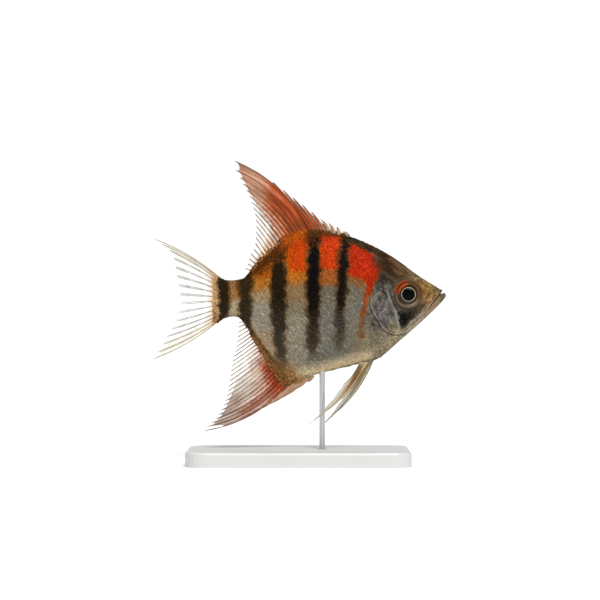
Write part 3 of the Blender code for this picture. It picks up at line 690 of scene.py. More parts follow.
# Olive mottling and thin dark streaks over the snout and forehead, then the jaw's band, pinkish tan at
# the mouth and paler below, and grey lips.
over_jaw = wire.minus(plain_z, line(plain_x, 0.985, -38.9))
over_jaw = line(wire.minus(grain, 0.5), 0.9, over_jaw)
bare = product((x, 30.0, 33.0), (over_jaw, 2.4, 3.0))
olive = wire.noise(place, 0.9, 4.0, 0.7)
streaked = wire.noise(place, 1.5, 3.0, 0.7, (2.2, 1.0, 0.7))
lay((80, 66, 36), bare, (olive, 0.50, 0.62), 0.75)
lay((184, 152, 108), bare, (olive, 0.47, 0.36), 0.8)
lay((70, 50, 32), bare, (streaked, 0.52, 0.62), 0.8)
jaw_tone = blend((plain_x, 38.0, 31.0), (150, 122, 90), (174, 162, 140))
jaw_tone = blend((mottle, 0.42, 0.62), jaw_tone, (132, 116, 96))
lay(jaw_tone, (plain_x, 26.0, 30.0), (over_jaw, 3.1, 1.3), 0.9)
lay((88, 80, 68), (plain_x, 37.7, 38.5), 0.85)

# Rings of the orbit: red above and behind, brown elsewhere.
eye_x, eye_z = wire.minus(plain_x, EYE_X), wire.minus(plain_z, EYE_ABOVE_AXIS)
from_eye = wire.distance(eye_x, eye_z)
upper_rear = product((line(eye_x, -1.3, eye_z), 3.2, 5.4), (eye_z, -0.4, 1.4))
ring_tone = blend((eye_x, -1.0, -3.4), (112, 80, 48), (70, 60, 48))
ring_tone = blend((eye_z, -1.0, -3.4), ring_tone, (76, 64, 53))
lay(ring_tone, (from_eye, 4.5, 3.8), 0.75)
lay((60, 43, 28), (from_eye, 3.66, 3.9, 0.14), 0.5)
lay(blend((eye_z, 1.5, -2.6), (100, 72, 46), (112, 98, 82)), (from_eye, 3.66, 3.5))
lay((142, 64, 32), upper_rear, (from_eye, 4.3, 3.6), 0.9)
lay(blend(upper_rear, (128, 108, 84), (120, 50, 28)), (from_eye, 3.44, 3.36), 0.8)

# Reddish flesh at the dorsal fin's foot, and dark freckles along the rear belly, back and tail foot.
lay((186, 90, 36), (under_back, 1.2, -0.9), (x, -4.6, 2.4, 1.2), 0.7)
edges = calc("MAXIMUM", product((over_belly, 3.2, 0.4), (x, 4.0, -2.0)),
             product((under_back, 5.0, 1.0), (x, 14.0, 8.0), 0.7))
edges = calc("MAXIMUM", edges, product((x, -20.5, -21.5), 0.8))
lay((66, 40, 22), (wire.noise(place, 2.9, 2.0, 0.6), 0.50, 0.66), edges, 0.8)

# Fine grain of dark pigment, drawn out upright, and where the hide is silvery. Wet pigment looks lighter
# under its sheen, so it is laid darker.
wire.dim(wire.ramp(fine, 0.28, 0.72, 0.64, 1.36))
_, richness, lightness = wire.hue_parts()
silver = product(wire.minus(1.0, dark), (richness, 0.7, 0.4), (lightness, 0.06, 0.14), (x, 28.0, 20.0))
darker = wire.vector("MULTIPLY_ADD", wire.colour, (0.86,) * 3, (-0.012,) * 3)
wire.fill(result, {"Color": wire.vector("MAXIMUM", darker, (0.002,) * 3), "Silver": silver})


def new_material(name):
    """A material and the wiring of its node tree."""
    made = bpy.data.materials.new(name)
    made.use_nodes = True
    return made, Wiring(made.node_tree)


hide, wire = new_material("skin hide")
place = wire.fish_place()
wire.colour = wire.grouped(markings, Place=place)["Color"]
# Painted shade in the head's grooves and pits, and pale bone edges with painted highlights on its raised
# folds.
wire.lay((24, 19, 15), wire.read("shaded"), 0.85)
wire.lay((178, 168, 150), wire.read("pale_and_highlit"), 0.66)
pimples = wire.node("ShaderNodeTexVoronoi", {"Vector": place, "Scale": 2.6}).outputs["Distance"]
rough = wire.line(pimples, 0.45, wire.noise(place, 2.2, 5.0, 0.6))
wire.dress(Base_Color=wire.colour, Roughness=wire.ramp(wire.noise(place, 0.8), 0.0, 1.0, 0.38, 0.6),
           Normal=wire.bump(rough, 0.55, 0.00012), Specular_IOR_Level=0.1)

skin.data.materials.append(hide)
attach(skin, "root")
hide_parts("head", "lower_jaw", "gill_cover_left", "gill_cover_right", "trunk", "tail_stalk")

# ---------------------------------------------------------------- scales
# Thin overlapping plates of clear bone, rooted in pockets of the skin and pointing tailward, large on the
# flanks and small on breast, stalk, cheeks and gill covers. The snout, throat and jaw are bare.
FLANK_ROW, HEAD_ROW = 0.52, 0.36
SCALE_THICKNESS = 0.03
SCALE_LENGTH, SCALE_WIDTH = 1.75, 2.45     # against the spacing of their roots, so that they overlap
SCALE_LIFT = 0.85
MAP_PATCH = 0.003            # width of one scale's patch on the bake map
LAST_SCALE_X = -23.0
FLANK_PARTING_X = 4.5         # the flank's scales are made as two pieces that meet here
scale_pitch_at = profile([(34.0, 0.62), (24.0, 0.68), (18.0, 0.86), (8.0, 1.02), (-6.0, 1.0), (-14.0, 0.82),
                          (-20.0, 0.62), (-23.6, 0.5)])


def scale_blank():
    """One scale as a closed plate, a unit long and wide, root at the origin and tip toward +X."""
    share, across = np.meshgrid(np.linspace(0.0, 1.0, 4), np.linspace(-1.0, 1.0, 5), indexing="ij")
    shoulder = 0.62 + 0.55 * share - 0.30 * share ** 2
    top = np.stack([share - 0.36 * share * across ** 2, 0.5 * across * shoulder,
                    -0.05 + 0.14 * share - 0.05 * across ** 2], axis=2)
    blank = sheet_mesh("scale_blank", top, top - (0.0, 0.0, SCALE_THICKNESS))
    add_values(blank.data, "blade", [*(top[..., :2] + (0.0, 0.5)).reshape(-1, 2)] * 2)
    return blank


def end_tree(wire, geometry, finish, result):
    """Ends a geometry tree: its copies made real, with their finish on."""
    real = wire.node("GeometryNodeRealizeInstances", {"Geometry": geometry})
    done = wire.node("GeometryNodeSetMaterial", {"Geometry": real.outputs[0], "Material": finish})
    wire.fill(result, {0: done.outputs[0]})


def named_value(wire, name, kind):
    return wire.node("GeometryNodeInputNamedAttribute", {"Name": name}, data_type=kind).outputs["Attribute"]


def scale_tree():
    """Sets a scale on every root point, turned to its facing and lie, and sized by its size."""
    inputs = {"Roots": "Geometry", "Blank": "Object", "Finish": "Material"}
    tree, entry, result = new_group("scales on roots", inputs, {"Scales": "Geometry"}, "GeometryNodeTree")
    wire = Wiring(tree)
    facing, lie, size = (named_value(wire, name, "FLOAT_VECTOR") for name in ("facing", "lie", "size"))
    blank = wire.node("GeometryNodeObjectInfo", {"Object": entry["Blank"]})
    turn = wire.node("FunctionNodeAxesToRotation", {"Primary Axis": facing, "Secondary Axis": lie},
                     primary_axis="Z", secondary_axis="X")
    copies = wire.node("GeometryNodeInstanceOnPoints", {
        "Points": entry["Roots"], "Instance": blank.outputs["Geometry"], "Rotation": turn.outputs[0],
        "Scale": size})
    end_tree(wire, copies.outputs[0], entry["Finish"], result)
    return tree


def made_by(tree, name, source, **inputs):
    """Runs a geometry tree on a mesh and returns the result as a plain mesh object."""
    step = source.modifiers.new(name, "NODES")
    step.node_group = tree
    sockets = {item.name: item.identifier for item in tree.interface.items_tree if item.in_out == "INPUT"}
    for socket, value in inputs.items():
        step[sockets[socket]] = value
    evaluated = source.evaluated_get(bpy.context.evaluated_depsgraph_get())
    mesh = bpy.data.meshes.new_from_object(evaluated)
    source.modifiers.remove(step)
    bpy.data.objects.remove(source)
    mesh.name = name
    return shown(name, mesh)


skin_faces = grid_faces(np.arange(rows * columns).reshape(rows, columns))
skin_shape = BVHTree.FromPolygons(skin_points.reshape(-1, 3).tolist(), skin_faces.tolist())
half_ring = {1: np.arange(columns // 2 + 1), -1: np.array([0, *range(columns - 1, columns // 2 - 1, -1)])}


def scale_roots(side, first_x, last_x, row_height, pitch_share):
    """Root points on one side in staggered rows: forward and up, place on the skin's map."""
    found = []
    x, column = first_x, 0
    while x > last_x:
        station = np.interp(-x, -stations, np.arange(rows))
        low_row = int(station)
        share = station - low_row
        ring = half_ring[side]
        line = (1 - share) * loft[low_row, ring] + share * loft[min(low_row + 1, rows - 1), ring]
        run = np.concatenate([[0.0], np.cumsum(np.linalg.norm(np.diff(line[:, 1:], axis=0), axis=1))])
        middle = run[len(ring) // 2]
        offset = 0.5 * (column % 2)
        steps = np.arange(math.ceil(-middle / row_height / 2) - 1, (run[-1] - middle) / row_height / 2 + 1)
        for at in middle + (steps + offset) * row_height * 2:
            if 0.12 < at < run[-1] - 0.12:
                y, z = np.interp(at, run, line[:, 1]), np.interp(at, run, line[:, 2])
                turn = np.interp(at, run, np.linspace(0.0, 0.5, len(ring)))
                found.append((x, y, z, station / (rows - 1), turn if side > 0 else 1.0 - turn))
        x -= 0.5 * float(scale_pitch_at(x)) * pitch_share
        column += 1
    return np.array(found)


def kept_flank(x, z):
    edge, _ = beside_line(COVER_EDGE, x, z)
    behind = (edge < -0.28) & (x < 30.0)
    nape = (z > 3.4) & (x < 27.5)
    clear_of_eye = from_eye_middle(x, z) > 4.9
    straggling = x > LAST_SCALE_X + 1.2 * np.abs(np.sin(7.3 * z + 1.9 * x))
    return (behind | nape) & clear_of_eye & (z > 0.985 * x - 38.4) & straggling


def kept_head(x, z):
    edge, _ = beside_line(COVER_EDGE, x, z)
    bone, _ = beside_line(PREOPERCLE, x, z)
    cover = (edge > 1.75) & (bone < -1.2) & (z < 2.0)
    cheek = (bone > 0.9) & (x < 31.0) & (z < 0.5) & (z > 0.985 * x - 35.6)
    clear_of_eye = from_eye_middle(x, z) > 5.0
    return (cover | cheek) & clear_of_eye


scale_finish, wire = new_material("scales")
marked = wire.grouped(markings, Place=wire.fish_place())
tone = wire.read("tone")
along, across, _ = wire.axes(wire.read("blade", "Vector"))
across = wire.calc("ABSOLUTE", wire.minus(across, 0.5))
rim = wire.calc("MAXIMUM", wire.rise(along, 0.62, 1.0), wire.rise(across, 0.25, 0.5))
# A painted sheen on each scale's exposed middle, partly the silver of its own guanine: the scale is lighter
# there, and paler still where the hide is silvery.
gleam = wire.product((along, 0.25, 0.55), (across, 0.32, 0.05), tone)
shade = wire.minus(wire.line(tone, 0.22, 0.89), wire.product(rim, 0.07))
wire.colour = marked["Color"]
wire.dim(wire.line(gleam, 0.10, shade))
wire.lay((176, 170, 152), (tone, 0.7, 1.0), gleam, marked["Silver"], 0.16)
wire.dress(Base_Color=wire.colour, Roughness=wire.line(tone, -0.15, 0.55), Specular_IOR_Level=0.04)


def point_pairs(mesh, name):
    """The value pairs of one attribute, a row for each vertex."""
    pairs = np.zeros(2 * len(mesh.vertices), dtype=np.float32)
    mesh.attributes[name].data.foreach_get("vector", pairs)
    return pairs.reshape(-1, 2)


blank = scale_blank()
growth = scale_tree()
draw = np.random.default_rng(7)
for side, side_name in ((1, "left"), (-1, "right")):
    for part, first_x, last_x, row_height, pitch_share, kept in (
            ("flank", 31.0, LAST_SCALE_X, FLANK_ROW, 1.0, kept_flank),
            ("head", 32.0, 18.5, HEAD_ROW, 0.8, kept_head)):
        roots = scale_roots(side, first_x, last_x, row_height, pitch_share)
        roots = roots[kept(roots[:, 0], roots[:, 2])]
        jitter = draw.uniform(-1.0, 1.0, (len(roots), 4))
        pitch = scale_pitch_at(roots[:, 0]) * pitch_share
        seats = placed(roots[:, 0] + 0.13 * pitch * jitter[:, 0], roots[:, 1],
                       roots[:, 2] + 0.12 * row_height * jitter[:, 1])
        facing = np.zeros((len(roots), 3))
        for number, seat in enumerate(seats):
            spot, normal, _, _ = skin_shape.find_nearest(Vector(seat))
            outer = normal if normal.y * side > 0 or abs(normal.y) < 0.02 else -normal
            facing[number], seats[number] = outer, spot
        lean = 0.17 * jitter[:, 2] - 0.012 * roots[:, 2]
        lie = np.column_stack([-np.ones(len(roots)), np.zeros(len(roots)), lean])
        lie -= (lie * facing).sum(axis=1, keepdims=True) * facing
        grown = 1.0 + 0.12 * jitter[:, 3]
        size = np.column_stack([SCALE_LENGTH * pitch * grown, SCALE_WIDTH * row_height * grown,
                                np.full(len(roots), SCALE_LIFT)]) * MM
        tones = draw.random(len(roots))
        forward = roots[:, 0] > FLANK_PARTING_X
        areas = {"shoulder": forward, "flank": ~forward} if part == "flank" else {"head": forward}
        for area, here in areas.items():
            points = mesh_object("roots", seats[here], [], smooth=False)
            for name, values in (("facing", facing), ("lie", lie), ("size", size), ("tone", tones),
                                 ("root", roots[:, 3:5])):
                add_values(points.data, name, values[here])
            scales = made_by(growth, f"scales_{area}_{side_name}", points, Blank=blank, Finish=scale_finish)
            corners = corner_numbers(scales.data)
            root, local = (point_pairs(scales.data, name)[corners] for name in ("root", "blade"))
            lay_map(scales, root, MAP_PATCH * (local - 0.5))
            scales.data.shade_smooth()
            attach(scales, "root")
            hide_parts("head" if area == "head" else "trunk")
bpy.data.objects.remove(blank)


# ---------------------------------------------------------------- eyes
# A ball under a clear wet cornea: black pupil, thin cream ring, and a dark bronze iris that is orange-red
# above and behind and bluish grey below. It sits loose in its socket, just proud of the skin.
EYE_RINGS, EYE_SPOKES = 40, 64


def eyeball(name, side):
    """A flattened ball with a slightly fuller front over the lens."""
    polar = np.pi * np.arange(1, EYE_RINGS)[:, None] / EYE_RINGS
    angle = 2 * np.pi * np.arange(EYE_SPOKES) / EYE_SPOKES
    radius = EYE_RADIUS * np.sin(polar)
    out = np.cos(polar) * EYE_DEPTH - 0.05 * rise(radius, 1.7, 2.1) * (np.cos(polar) > 0)
    rings = placed(EYE_X + radius * np.cos(angle), side * (EYE_OUT + out) + 0.0 * angle,
                   EYE_ABOVE_AXIS + radius * np.sin(angle))
    middle = np.full(2, EYE_X)
    poles = placed(middle, side * (EYE_OUT + EYE_DEPTH * np.array([1, -1])), 0.0 * middle + EYE_ABOVE_AXIS)
    return ringed_mesh(name, rings, poles)


iris, wire = new_material("eye")
blend, lay, line = wire.blend, wire.lay, wire.line
x, _, z = wire.axes(wire.fish_place())
eye_x, eye_z = wire.minus(x, EYE_X), wire.minus(z, EYE_ABOVE_AXIS)
radius = wire.distance(eye_x, eye_z)
turn = wire.product(wire.calc("ARCTAN2", eye_z, eye_x), 5.0)
threads = wire.noise(wire.joined(turn, radius), 2.2, 4.0, 0.7)
upper_rear = wire.product((line(eye_x, -1.5, eye_z), 2.0, 4.6), (eye_z, -0.6, 1.0))
wire.colour = blend(threads, (24, 16, 8), (58, 40, 20))
lay((72, 56, 26), (line(eye_x, -0.8, eye_z), 0.4, -3.0), 0.7)
lay((66, 65, 63), (line(eye_x, 0.8, eye_z), 0.2, -2.6), 0.8)
lay((176, 72, 30), upper_rear, (radius, 2.05, 2.9))
lay((18, 12, 8), (radius, 2.4, 2.0), 0.7)
outer_ring = blend((line(eye_z, 0.9, eye_x), 2.4, -2.6), (96, 70, 44), (202, 184, 162))
outer_ring = blend(wire.product(upper_rear, 0.85), outer_ring, (206, 112, 68))
lay(outer_ring, (line(eye_x, 0.05, radius), 2.86, 3.4, 0.15))
lay((184, 172, 140), (radius, 1.93, 1.87))
lay((1, 1, 2), (radius, 1.81, 1.75))
wire.dress(Base_Color=wire.colour, Roughness=wire.rise(radius, 1.5, 2.6),
           Normal=wire.bump(threads, 0.4, 0.0001), Specular_IOR_Level=0.05,
           Coat_Weight=0.04, Coat_Roughness=0.04, Coat_IOR=1.36)
for side, side_name in ((1, "left"), (-1, "right")):
    ball = eyeball("eyeball_" + side_name, side)
    ball.data.materials.append(iris)
    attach(ball, "root")
    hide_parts("eye_" + side_name)


# ---------------------------------------------------------------- dorsal and anal fin
# Thin webs of clear skin stretched between spines in front and jointed, forking rays behind, which stand
# free as fine tips along the edge. Red runs up from the body and fades to clear toward the rear.
ROOT_CLEARANCE = 0.35
ROOT_SUNK = 0.9              # how deep the rays' feet reach into the body
JOINT = 0.7                  # length of a ray's joints
RAY_STEP = 0.24
LEAF_GIRTH = 2.1             # the leaf-shaped spines against the others
THINNEST_RAY = 0.012
SPINE_SPREAD = 0.74          # below 1 the first spines stand further apart than the last
SPINE_BOW, FIRST_RAY_BOW = 0.03, 0.105     # bulge of a ray against its length; less and less behind the first


def ray_line(root, tip, bow, steps=24):
    """A ray from root to tip, bulging sideways by bow times its length."""
    root, tip = np.array(root), np.array(tip)
    run = tip - root
    aside = np.array([-run[1], run[0]])
    share = np.linspace(0.0, 1.0, steps)[:, None]
    return root + run * share + aside * bow * 4 * share * (1 - share)


def offset_path(points, distance):
    """The open path moved sideways, to its left where distance is positive."""
    path = np.array(points, dtype=float)
    run = np.gradient(path, axis=0)
    run /= np.linalg.norm(run, axis=1)[:, None]
    return path + distance * np.column_stack([-run[:, 1], run[:, 0]])


def along_edge(edge_at, first_x, last_x, count, clearance):
    """Evenly spread points on the back or belly edge, raised off it."""
    walk_x = np.linspace(first_x, last_x, 60)
    return offset_path(curve_through(np.column_stack([walk_x, edge_at(walk_x)]), count), clearance)


class Fan:
    """A fin's rays: their lines, how many in front are spines, and the fin's distance from the mid-plane."""

    def __init__(self, lines, spines, side_at=lambda x, z: 0.0 * x, sunk=ROOT_SUNK):
        starts = [(line[1] - line[0]) / np.linalg.norm(line[1] - line[0]) for line in lines]
        self.lines = [np.vstack([line[0] - start * sunk, line]) for start, line in zip(starts, lines)]
        self.spines = spines
        self.side_at = side_at

    def at(self, ray, share):
        """Forward and up of a point: ray may lie between two rays."""
        stack = np.array(self.lines)
        steps = stack.shape[1] - 1
        ray, run = np.clip(ray, 0, len(stack) - 1), np.clip(share, 0.0, 1.0) * steps
        low = np.minimum(np.floor(ray).astype(int), len(stack) - 2)
        near = np.minimum(np.floor(run).astype(int), steps - 1)
        part, rest = (ray - low)[..., None], (run - near)[..., None]
        one, two = (stack[line, near] * (1 - rest) + stack[line, near + 1] * rest for line in (low, low + 1))
        return one * (1 - part) + two * part

    def length(self, ray):
        line = self.at(np.full(40, float(ray)), np.linspace(0.0, 1.0, 40))
        return np.linalg.norm(np.diff(line, axis=0), axis=1).sum()


def ray_tree():
    """Sweeps a round, jointed ray along every line of the source mesh."""
    inputs = {"Lines": "Geometry", "Sides": "Int", "Finish": "Material"}
    tree, entry, result = new_group("rays on lines", inputs, {"Rays": "Geometry"}, "GeometryNodeTree")
    wire = Wiring(tree)
    curve = wire.node("GeometryNodeMeshToCurve", {"Mesh": entry["Lines"]})
    ring = wire.node("GeometryNodeCurvePrimitiveCircle", {"Resolution": entry["Sides"], "Radius": 1.0})
    sweep = wire.node("GeometryNodeCurveToMesh", {
        "Curve": curve.outputs[0], "Profile Curve": ring.outputs[0],
        "Scale": named_value(wire, "thickness", "FLOAT"), "Fill Caps": True})
    end_tree(wire, sweep.outputs[0], entry["Finish"], result)
    return tree


ray_growth = ray_tree()


def fin_rays(name, fan, finish, root_radius, tip_radius, forks=(0.42, 0.72), spread=(0.10, 0.055), stout=0):
    """All rays of a fin: spines stay whole, the first stout ones leaf-shaped, and soft rays fork twice."""
    points, edges, thick, placing = [], [], [], []
    number = len(fan.lines)
    first, second = forks
    soft_runs = [(0.0, first + 0.02, 0.0, 0.0)]
    for one in (-1, 1):
        soft_runs.append((first, second + 0.02, 0.0, one * spread[0]))
        soft_runs += [(second, 1.0, one * spread[0], two * spread[1]) for two in (-1, 1)]
    girth_from = {0.0: 1.0, first: 0.74, second: 0.56}
    for ray in range(number):
        length = fan.length(ray)
        spine, leaf = ray < fan.spines, ray < stout
        for low, high, offset, opening in [(0.0, 1.0, 0.0, 0.0)] if spine else soft_runs:
            count = max(3, int(length * (high - low) / RAY_STEP))
            share = np.linspace(low, high, count)
            across = ray + offset + opening * rise((share - low) / (high - low), 0.0, 0.55)
            reach = share * (1.0 - 0.035 * abs(offset + opening) / 0.26 * (high == 1.0))
            spot = fan.at(across, reach)
            start = len(points)
            points += list(placed(spot[:, 0], fan.side_at(spot[:, 0], spot[:, 1]), spot[:, 1]))
            edges += [(step, step + 1) for step in range(start, start + count - 1)]
            joint = 1.0 + 0.03 * np.cos(2 * math.pi * share * length / JOINT) * (not spine)
            girth = girth_from[low] * (1.1 if spine else 1.0) * (LEAF_GIRTH if leaf else 1.0)
            radius = (root_radius + (tip_radius - root_radius) * share ** 0.8) * joint * girth
            pointed = rise(1.0 - share, 0.0, 0.5 if leaf else 0.03)
            thick += list(np.maximum(radius * pointed, THINNEST_RAY) * MM)
            placing += list(np.column_stack([across / (number - 1), share, 0.0 * share]))
    source = mesh_object(name + "_lines", points, [], False, edges)
    add_values(source.data, "thickness", thick)
    add_values(source.data, "fan", placing)
    rays = made_by(ray_growth, name, source, Sides=6, Finish=finish)
    rays.data.shade_smooth()
    return rays


def fin_web(name, fan, finish, thickness, reaches, notch=0.03, columns=8, steps=40, pleat=0.05):
    """The web as one closed thin sheet, its outer edge drawn in between the rays, with a flap behind each
    spine. Thickness is half of the fleshy foot's and of the web's; reaches are (ray, share of its length the
    web climbs) pairs."""
    number = len(fan.lines)
    across = np.linspace(0.0, number - 1.0, (number - 1) * columns + 1)
    between = np.abs((across % 1.0) - 0.5) * 2.0
    soft = rise(across, fan.spines - 1.0, fan.spines + 0.5)
    reach = np.interp(across, *zip(*reaches)) - notch * (1.0 - between ** 2) * (1 + 3 * (1 - soft))
    flap = rise(across % 1.0, 0.4, 0.1) * (1.0 - soft)
    reach += flap * np.maximum(0.0, 0.96 - reach)
    share = np.linspace(0.0, 1.0, steps)[None, :] * reach[:, None]
    spot = fan.at(np.repeat(across[:, None], steps, axis=1), share)
    fold = pleat * np.sin(across * math.pi)[:, None] * rise(share, 0.0, 0.3)
    middle = fan.side_at(spot[..., 0], spot[..., 1]) + fold
    half = thickness[1] + (thickness[0] - thickness[1]) * rise(share, 0.2, 0.0)
    web = sheet_mesh(name, *(placed(spot[..., 0], middle + sign * half, spot[..., 1]) for sign in (1, -1)))
    placing = np.stack([across[:, None] / (number - 1) + 0.0 * share, share, 0.0 * share], axis=2)
    add_values(web.data, "fan", np.vstack([placing.reshape(-1, 3)] * 2))
    web.data.materials.append(finish)
    return web


WHOLE, ALL = (-0.2, 1.2), (-0.2, 1.4)     # ranges that take in the whole fin
fibres, entry, result = new_group("fin fibres", {"Fan": "Vector", "Rays": "Float", "Place": "Vector"},
                                  dict.fromkeys(("Across", "Along", "Fibre", "Streak", "Blotch"), "Float"))
wire = Wiring(fibres)
across, along, _ = wire.axes(entry["Fan"])
threads_place = wire.joined(wire.product(across, entry["Rays"], 5.0), wire.product(along, 5.0))
wire.fill(result, {"Across": across, "Along": along, "Fibre": wire.noise(threads_place, 1.0, 3.0, 0.7),
                   "Streak": wire.noise(threads_place, 0.24, 2.0, 0.6),
                   "Blotch": wire.noise(entry["Place"], 0.9, 4.0, 0.65)})


def fin_material(name, rays, tones, clear, foot=None, streaks=0.3, threads=0.25, tips=1.0, gaps=0.0):
    """A web or ray finish: tones are (across range, along range, softness, tone, clearness), streaks how
    much single rays differ, threads how much the fibres in them do, tips how solid the outer ends are, gaps
    how clear the thin parts are."""
    made, wire = new_material(name)
    place = wire.fish_place()
    fan = wire.read("fan", "Vector")
    read = wire.grouped(fibres, Fan=fan, Rays=float(rays), Place=place)
    fibre, streak = read["Fibre"], read["Streak"]
    wire.colour, alpha = clear
    wander = wire.product(wire.minus(read["Blotch"], 0.5), 0.22)
    across, along = wire.calc("ADD", read["Across"], wander), wire.calc("ADD", read["Along"], wander)
    for across_range, along_range, soft, tone, opaque in tones:
        mask = wire.product((across, *across_range, soft), (along, *along_range, soft))
        wire.lay(tone, mask)
        alpha = wire.node("ShaderNodeMix", {0: mask, 2: alpha, 3: opaque}, data_type="FLOAT").outputs[0]
    wire.dim(wire.product(wire.ramp(fibre, 0.25, 0.75, 1.0 - threads, 1.0 + 0.9 * threads),
                          wire.ramp(streak, 0.32, 0.68, 1.0 - streaks, 1.0 + 0.4 * streaks)))
    fading = wire.product((read["Along"], 0.45, 1.0), (read["Across"], 0.12, 0.5))
    alpha = wire.product(alpha, wire.ramp(fibre, 0.3, 0.7, 1.15, 0.8), wire.line(fading, tips - 1.0, 1.0))
    sheer = wire.product((streak, 0.50, 0.64), (read["Along"], 0.1, 0.5), -gaps)
    alpha = wire.line(sheer, alpha, alpha)
    if foot:
        mask = wire.rise(wire.line(fibre, 0.5 * foot[1], along), 1.2 * foot[1], foot[0])
        wire.lay(wire.grouped(markings, Place=place)["Color"], mask)
        alpha = wire.calc("MAXIMUM", alpha, mask)
    wire.dress(Base_Color=wire.colour, Alpha=alpha, Normal=wire.bump(fibre, 0.5, 0.00005),
               Roughness=wire.line(fibre, -0.2, 0.6), Specular_IOR_Level=0.08)
    return made


def median_rays(edge_at, clearance, spine_roots, soft_roots, spine_tips, soft_tips, spines, soft, crowd):
    """Ray lines of the dorsal or anal fin: short spines, then soft rays drawn out to a point."""
    spots = np.round(400 * np.linspace(0.0, 1.0, spines) ** SPINE_SPREAD).astype(int)
    roots = np.vstack([along_edge(edge_at, *spine_roots, 401, clearance)[spots],
                       along_edge(edge_at, *soft_roots, soft, clearance)])
    tips = []
    for edge, count, power in zip((spine_tips, soft_tips), (spines, soft), crowd):
        spots = np.round(400 * np.linspace(0.0, 1.0, count) ** power).astype(int)
        tips.append(curve_through(edge, 401)[spots])
    tips = np.vstack(tips)
    bows = np.concatenate([np.full(spines, SPINE_BOW), FIRST_RAY_BOW * np.linspace(1.0, 0.0, soft) ** 3])
    bows *= math.copysign(1, clearance)
    return [ray_line(root, tip, bow) for root, tip, bow in zip(roots, tips, bows)]


def fin_pieces(name, slot_node, fan, web_finish, ray_finish, thickness, reaches, radii, **shape):
    """Makes a fin's web and rays and puts both in the CAD fin's place."""
    web = fin_web(name + "_web", fan, web_finish, thickness, reaches)
    rays = fin_rays(name + "_rays", fan, ray_finish, *radii, **shape)
    for piece in (web, rays):
        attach(piece, "root")
        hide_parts(slot_node)


def rippled(height, wave, phase):
    """A still, shallow ripple across a median fin."""
    return lambda x, z: height * np.sin(0.34 * x + wave * z + phase) * rise(np.abs(z), 16.0, 30.0)


dorsal_lines = median_rays(
    back_at, -ROOT_CLEARANCE, (12.9, 3.2), (2.4, -12.2),
    [(12.1, 17.7), (10.4, 19.0), (8.4, 19.9), (6.4, 20.9), (4.1, 22.5), (-1.2, 26.6), (-7.0, 31.1)],
    [(-17.6, 36.9), (-17.2, 34.6), (-15.1, 30.5), (-12.9, 26.2), (-11.6, 21.5), (-11.5, 16.8), (-11.9, 13.6),
     (-13.2, 11.2), (-13.4, 9.4), (-14.4, 7.7)], 9, 19, (1.2, 0.85))
dorsal_fan = Fan(dorsal_lines, 9, rippled(0.16, 0.22, 0.6))
dorsal_web = fin_material("dorsal web", 28, (
    ((0.46, 1.4), (-0.2, 0.42), 0.12, (232, 176, 126), 0.5),
    ((-0.2, 0.56), WHOLE, 0.10, (196, 142, 112), 0.86),
    ((-0.2, 0.53), (-0.2, 0.66), 0.12, (194, 108, 62), 0.92),
    ((-0.2, 0.46), (0.08, 0.62), 0.08, (172, 70, 18), 0.97),
    ((-0.2, 0.62), (-0.2, 0.16), 0.08, (174, 78, 26), 0.98),
    ((0.26, 0.46), (-0.2, 0.18), 0.06, (126, 60, 26), 0.98),
    ((-0.3, 0.13), ALL, 0.02, (128, 96, 70), 0.98),
), ((244, 226, 200), 0.12), foot=(0.03, 0.12), streaks=0.6, threads=0.42, gaps=0.25)
dorsal_ray = fin_material("dorsal rays", 28, (
    ((0.20, 1.4), (-0.2, 0.38), 0.12, (142, 94, 56), 1.0),
    ((0.20, 0.60), (-0.2, 0.72), 0.10, (126, 56, 26), 1.0),
    ((-0.2, 0.44), (0.5, 1.4), 0.08, (138, 96, 70), 1.0),
    ((-0.2, 0.13), ALL, 0.02, (176, 146, 116), 1.0),
), ((162, 146, 122), 1.0), foot=(0.03, 0.06), streaks=0.45, tips=0.75)
fin_pieces("dorsal", "dorsal_fin", dorsal_fan, dorsal_web, dorsal_ray, (0.12, 0.035),
           ((0, 0.3), (2, 0.3), (3, 0.34), (4, 0.74), (5, 0.85), (6, 0.9), (9, 0.98), (13, 0.96), (16, 0.84),
            (19, 0.7), (27, 0.45)), (0.26, 0.18), forks=(0.5, 0.8), spread=(0.035, 0.025), stout=4)

anal_lines = median_rays(
    belly_at, ROOT_CLEARANCE, (3.4, -1.6), (-2.5, -14.4),
    [(2.3, -23.1), (-2.4, -26.1), (-5.6, -28.1), (-10.5, -30.6), (-15.4, -32.9)],
    [(-25.8, -36.2), (-24.6, -34.7), (-22.2, -32.4), (-19.8, -27.7), (-18.7, -22.4), (-17.9, -17.6),
     (-16.8, -13.5), (-16.4, -9.7), (-16.2, -6.8)], 6, 24, (1.1, 0.97))
anal_fan = Fan(anal_lines, 6, rippled(0.16, -0.22, 2.0))
anal_web = fin_material("anal web", 30, (
    ((0.13, 0.56), ALL, 0.10, (192, 174, 156), 0.6),
    ((0.06, 0.66), (-0.2, 0.46), 0.16, (206, 144, 104), 0.62),
    ((0.16, 0.32), (0.2, 0.70), 0.05, (160, 94, 62), 0.8),
    ((0.15, 0.56), (-0.2, 0.24), 0.09, (158, 56, 20), 0.97),
    ((-0.2, 0.17), ALL, 0.04, (204, 168, 140), 0.8),
    ((-0.2, 0.46), (0.66, 1.4), 0.08, (172, 148, 130), 0.85),
    ((0.52, 1.4), (-0.2, 0.12), 0.06, (200, 140, 88), 0.6),
), ((240, 234, 226), 0.13), foot=(0.09, 0.16), streaks=0.4, threads=0.38, gaps=0.5)
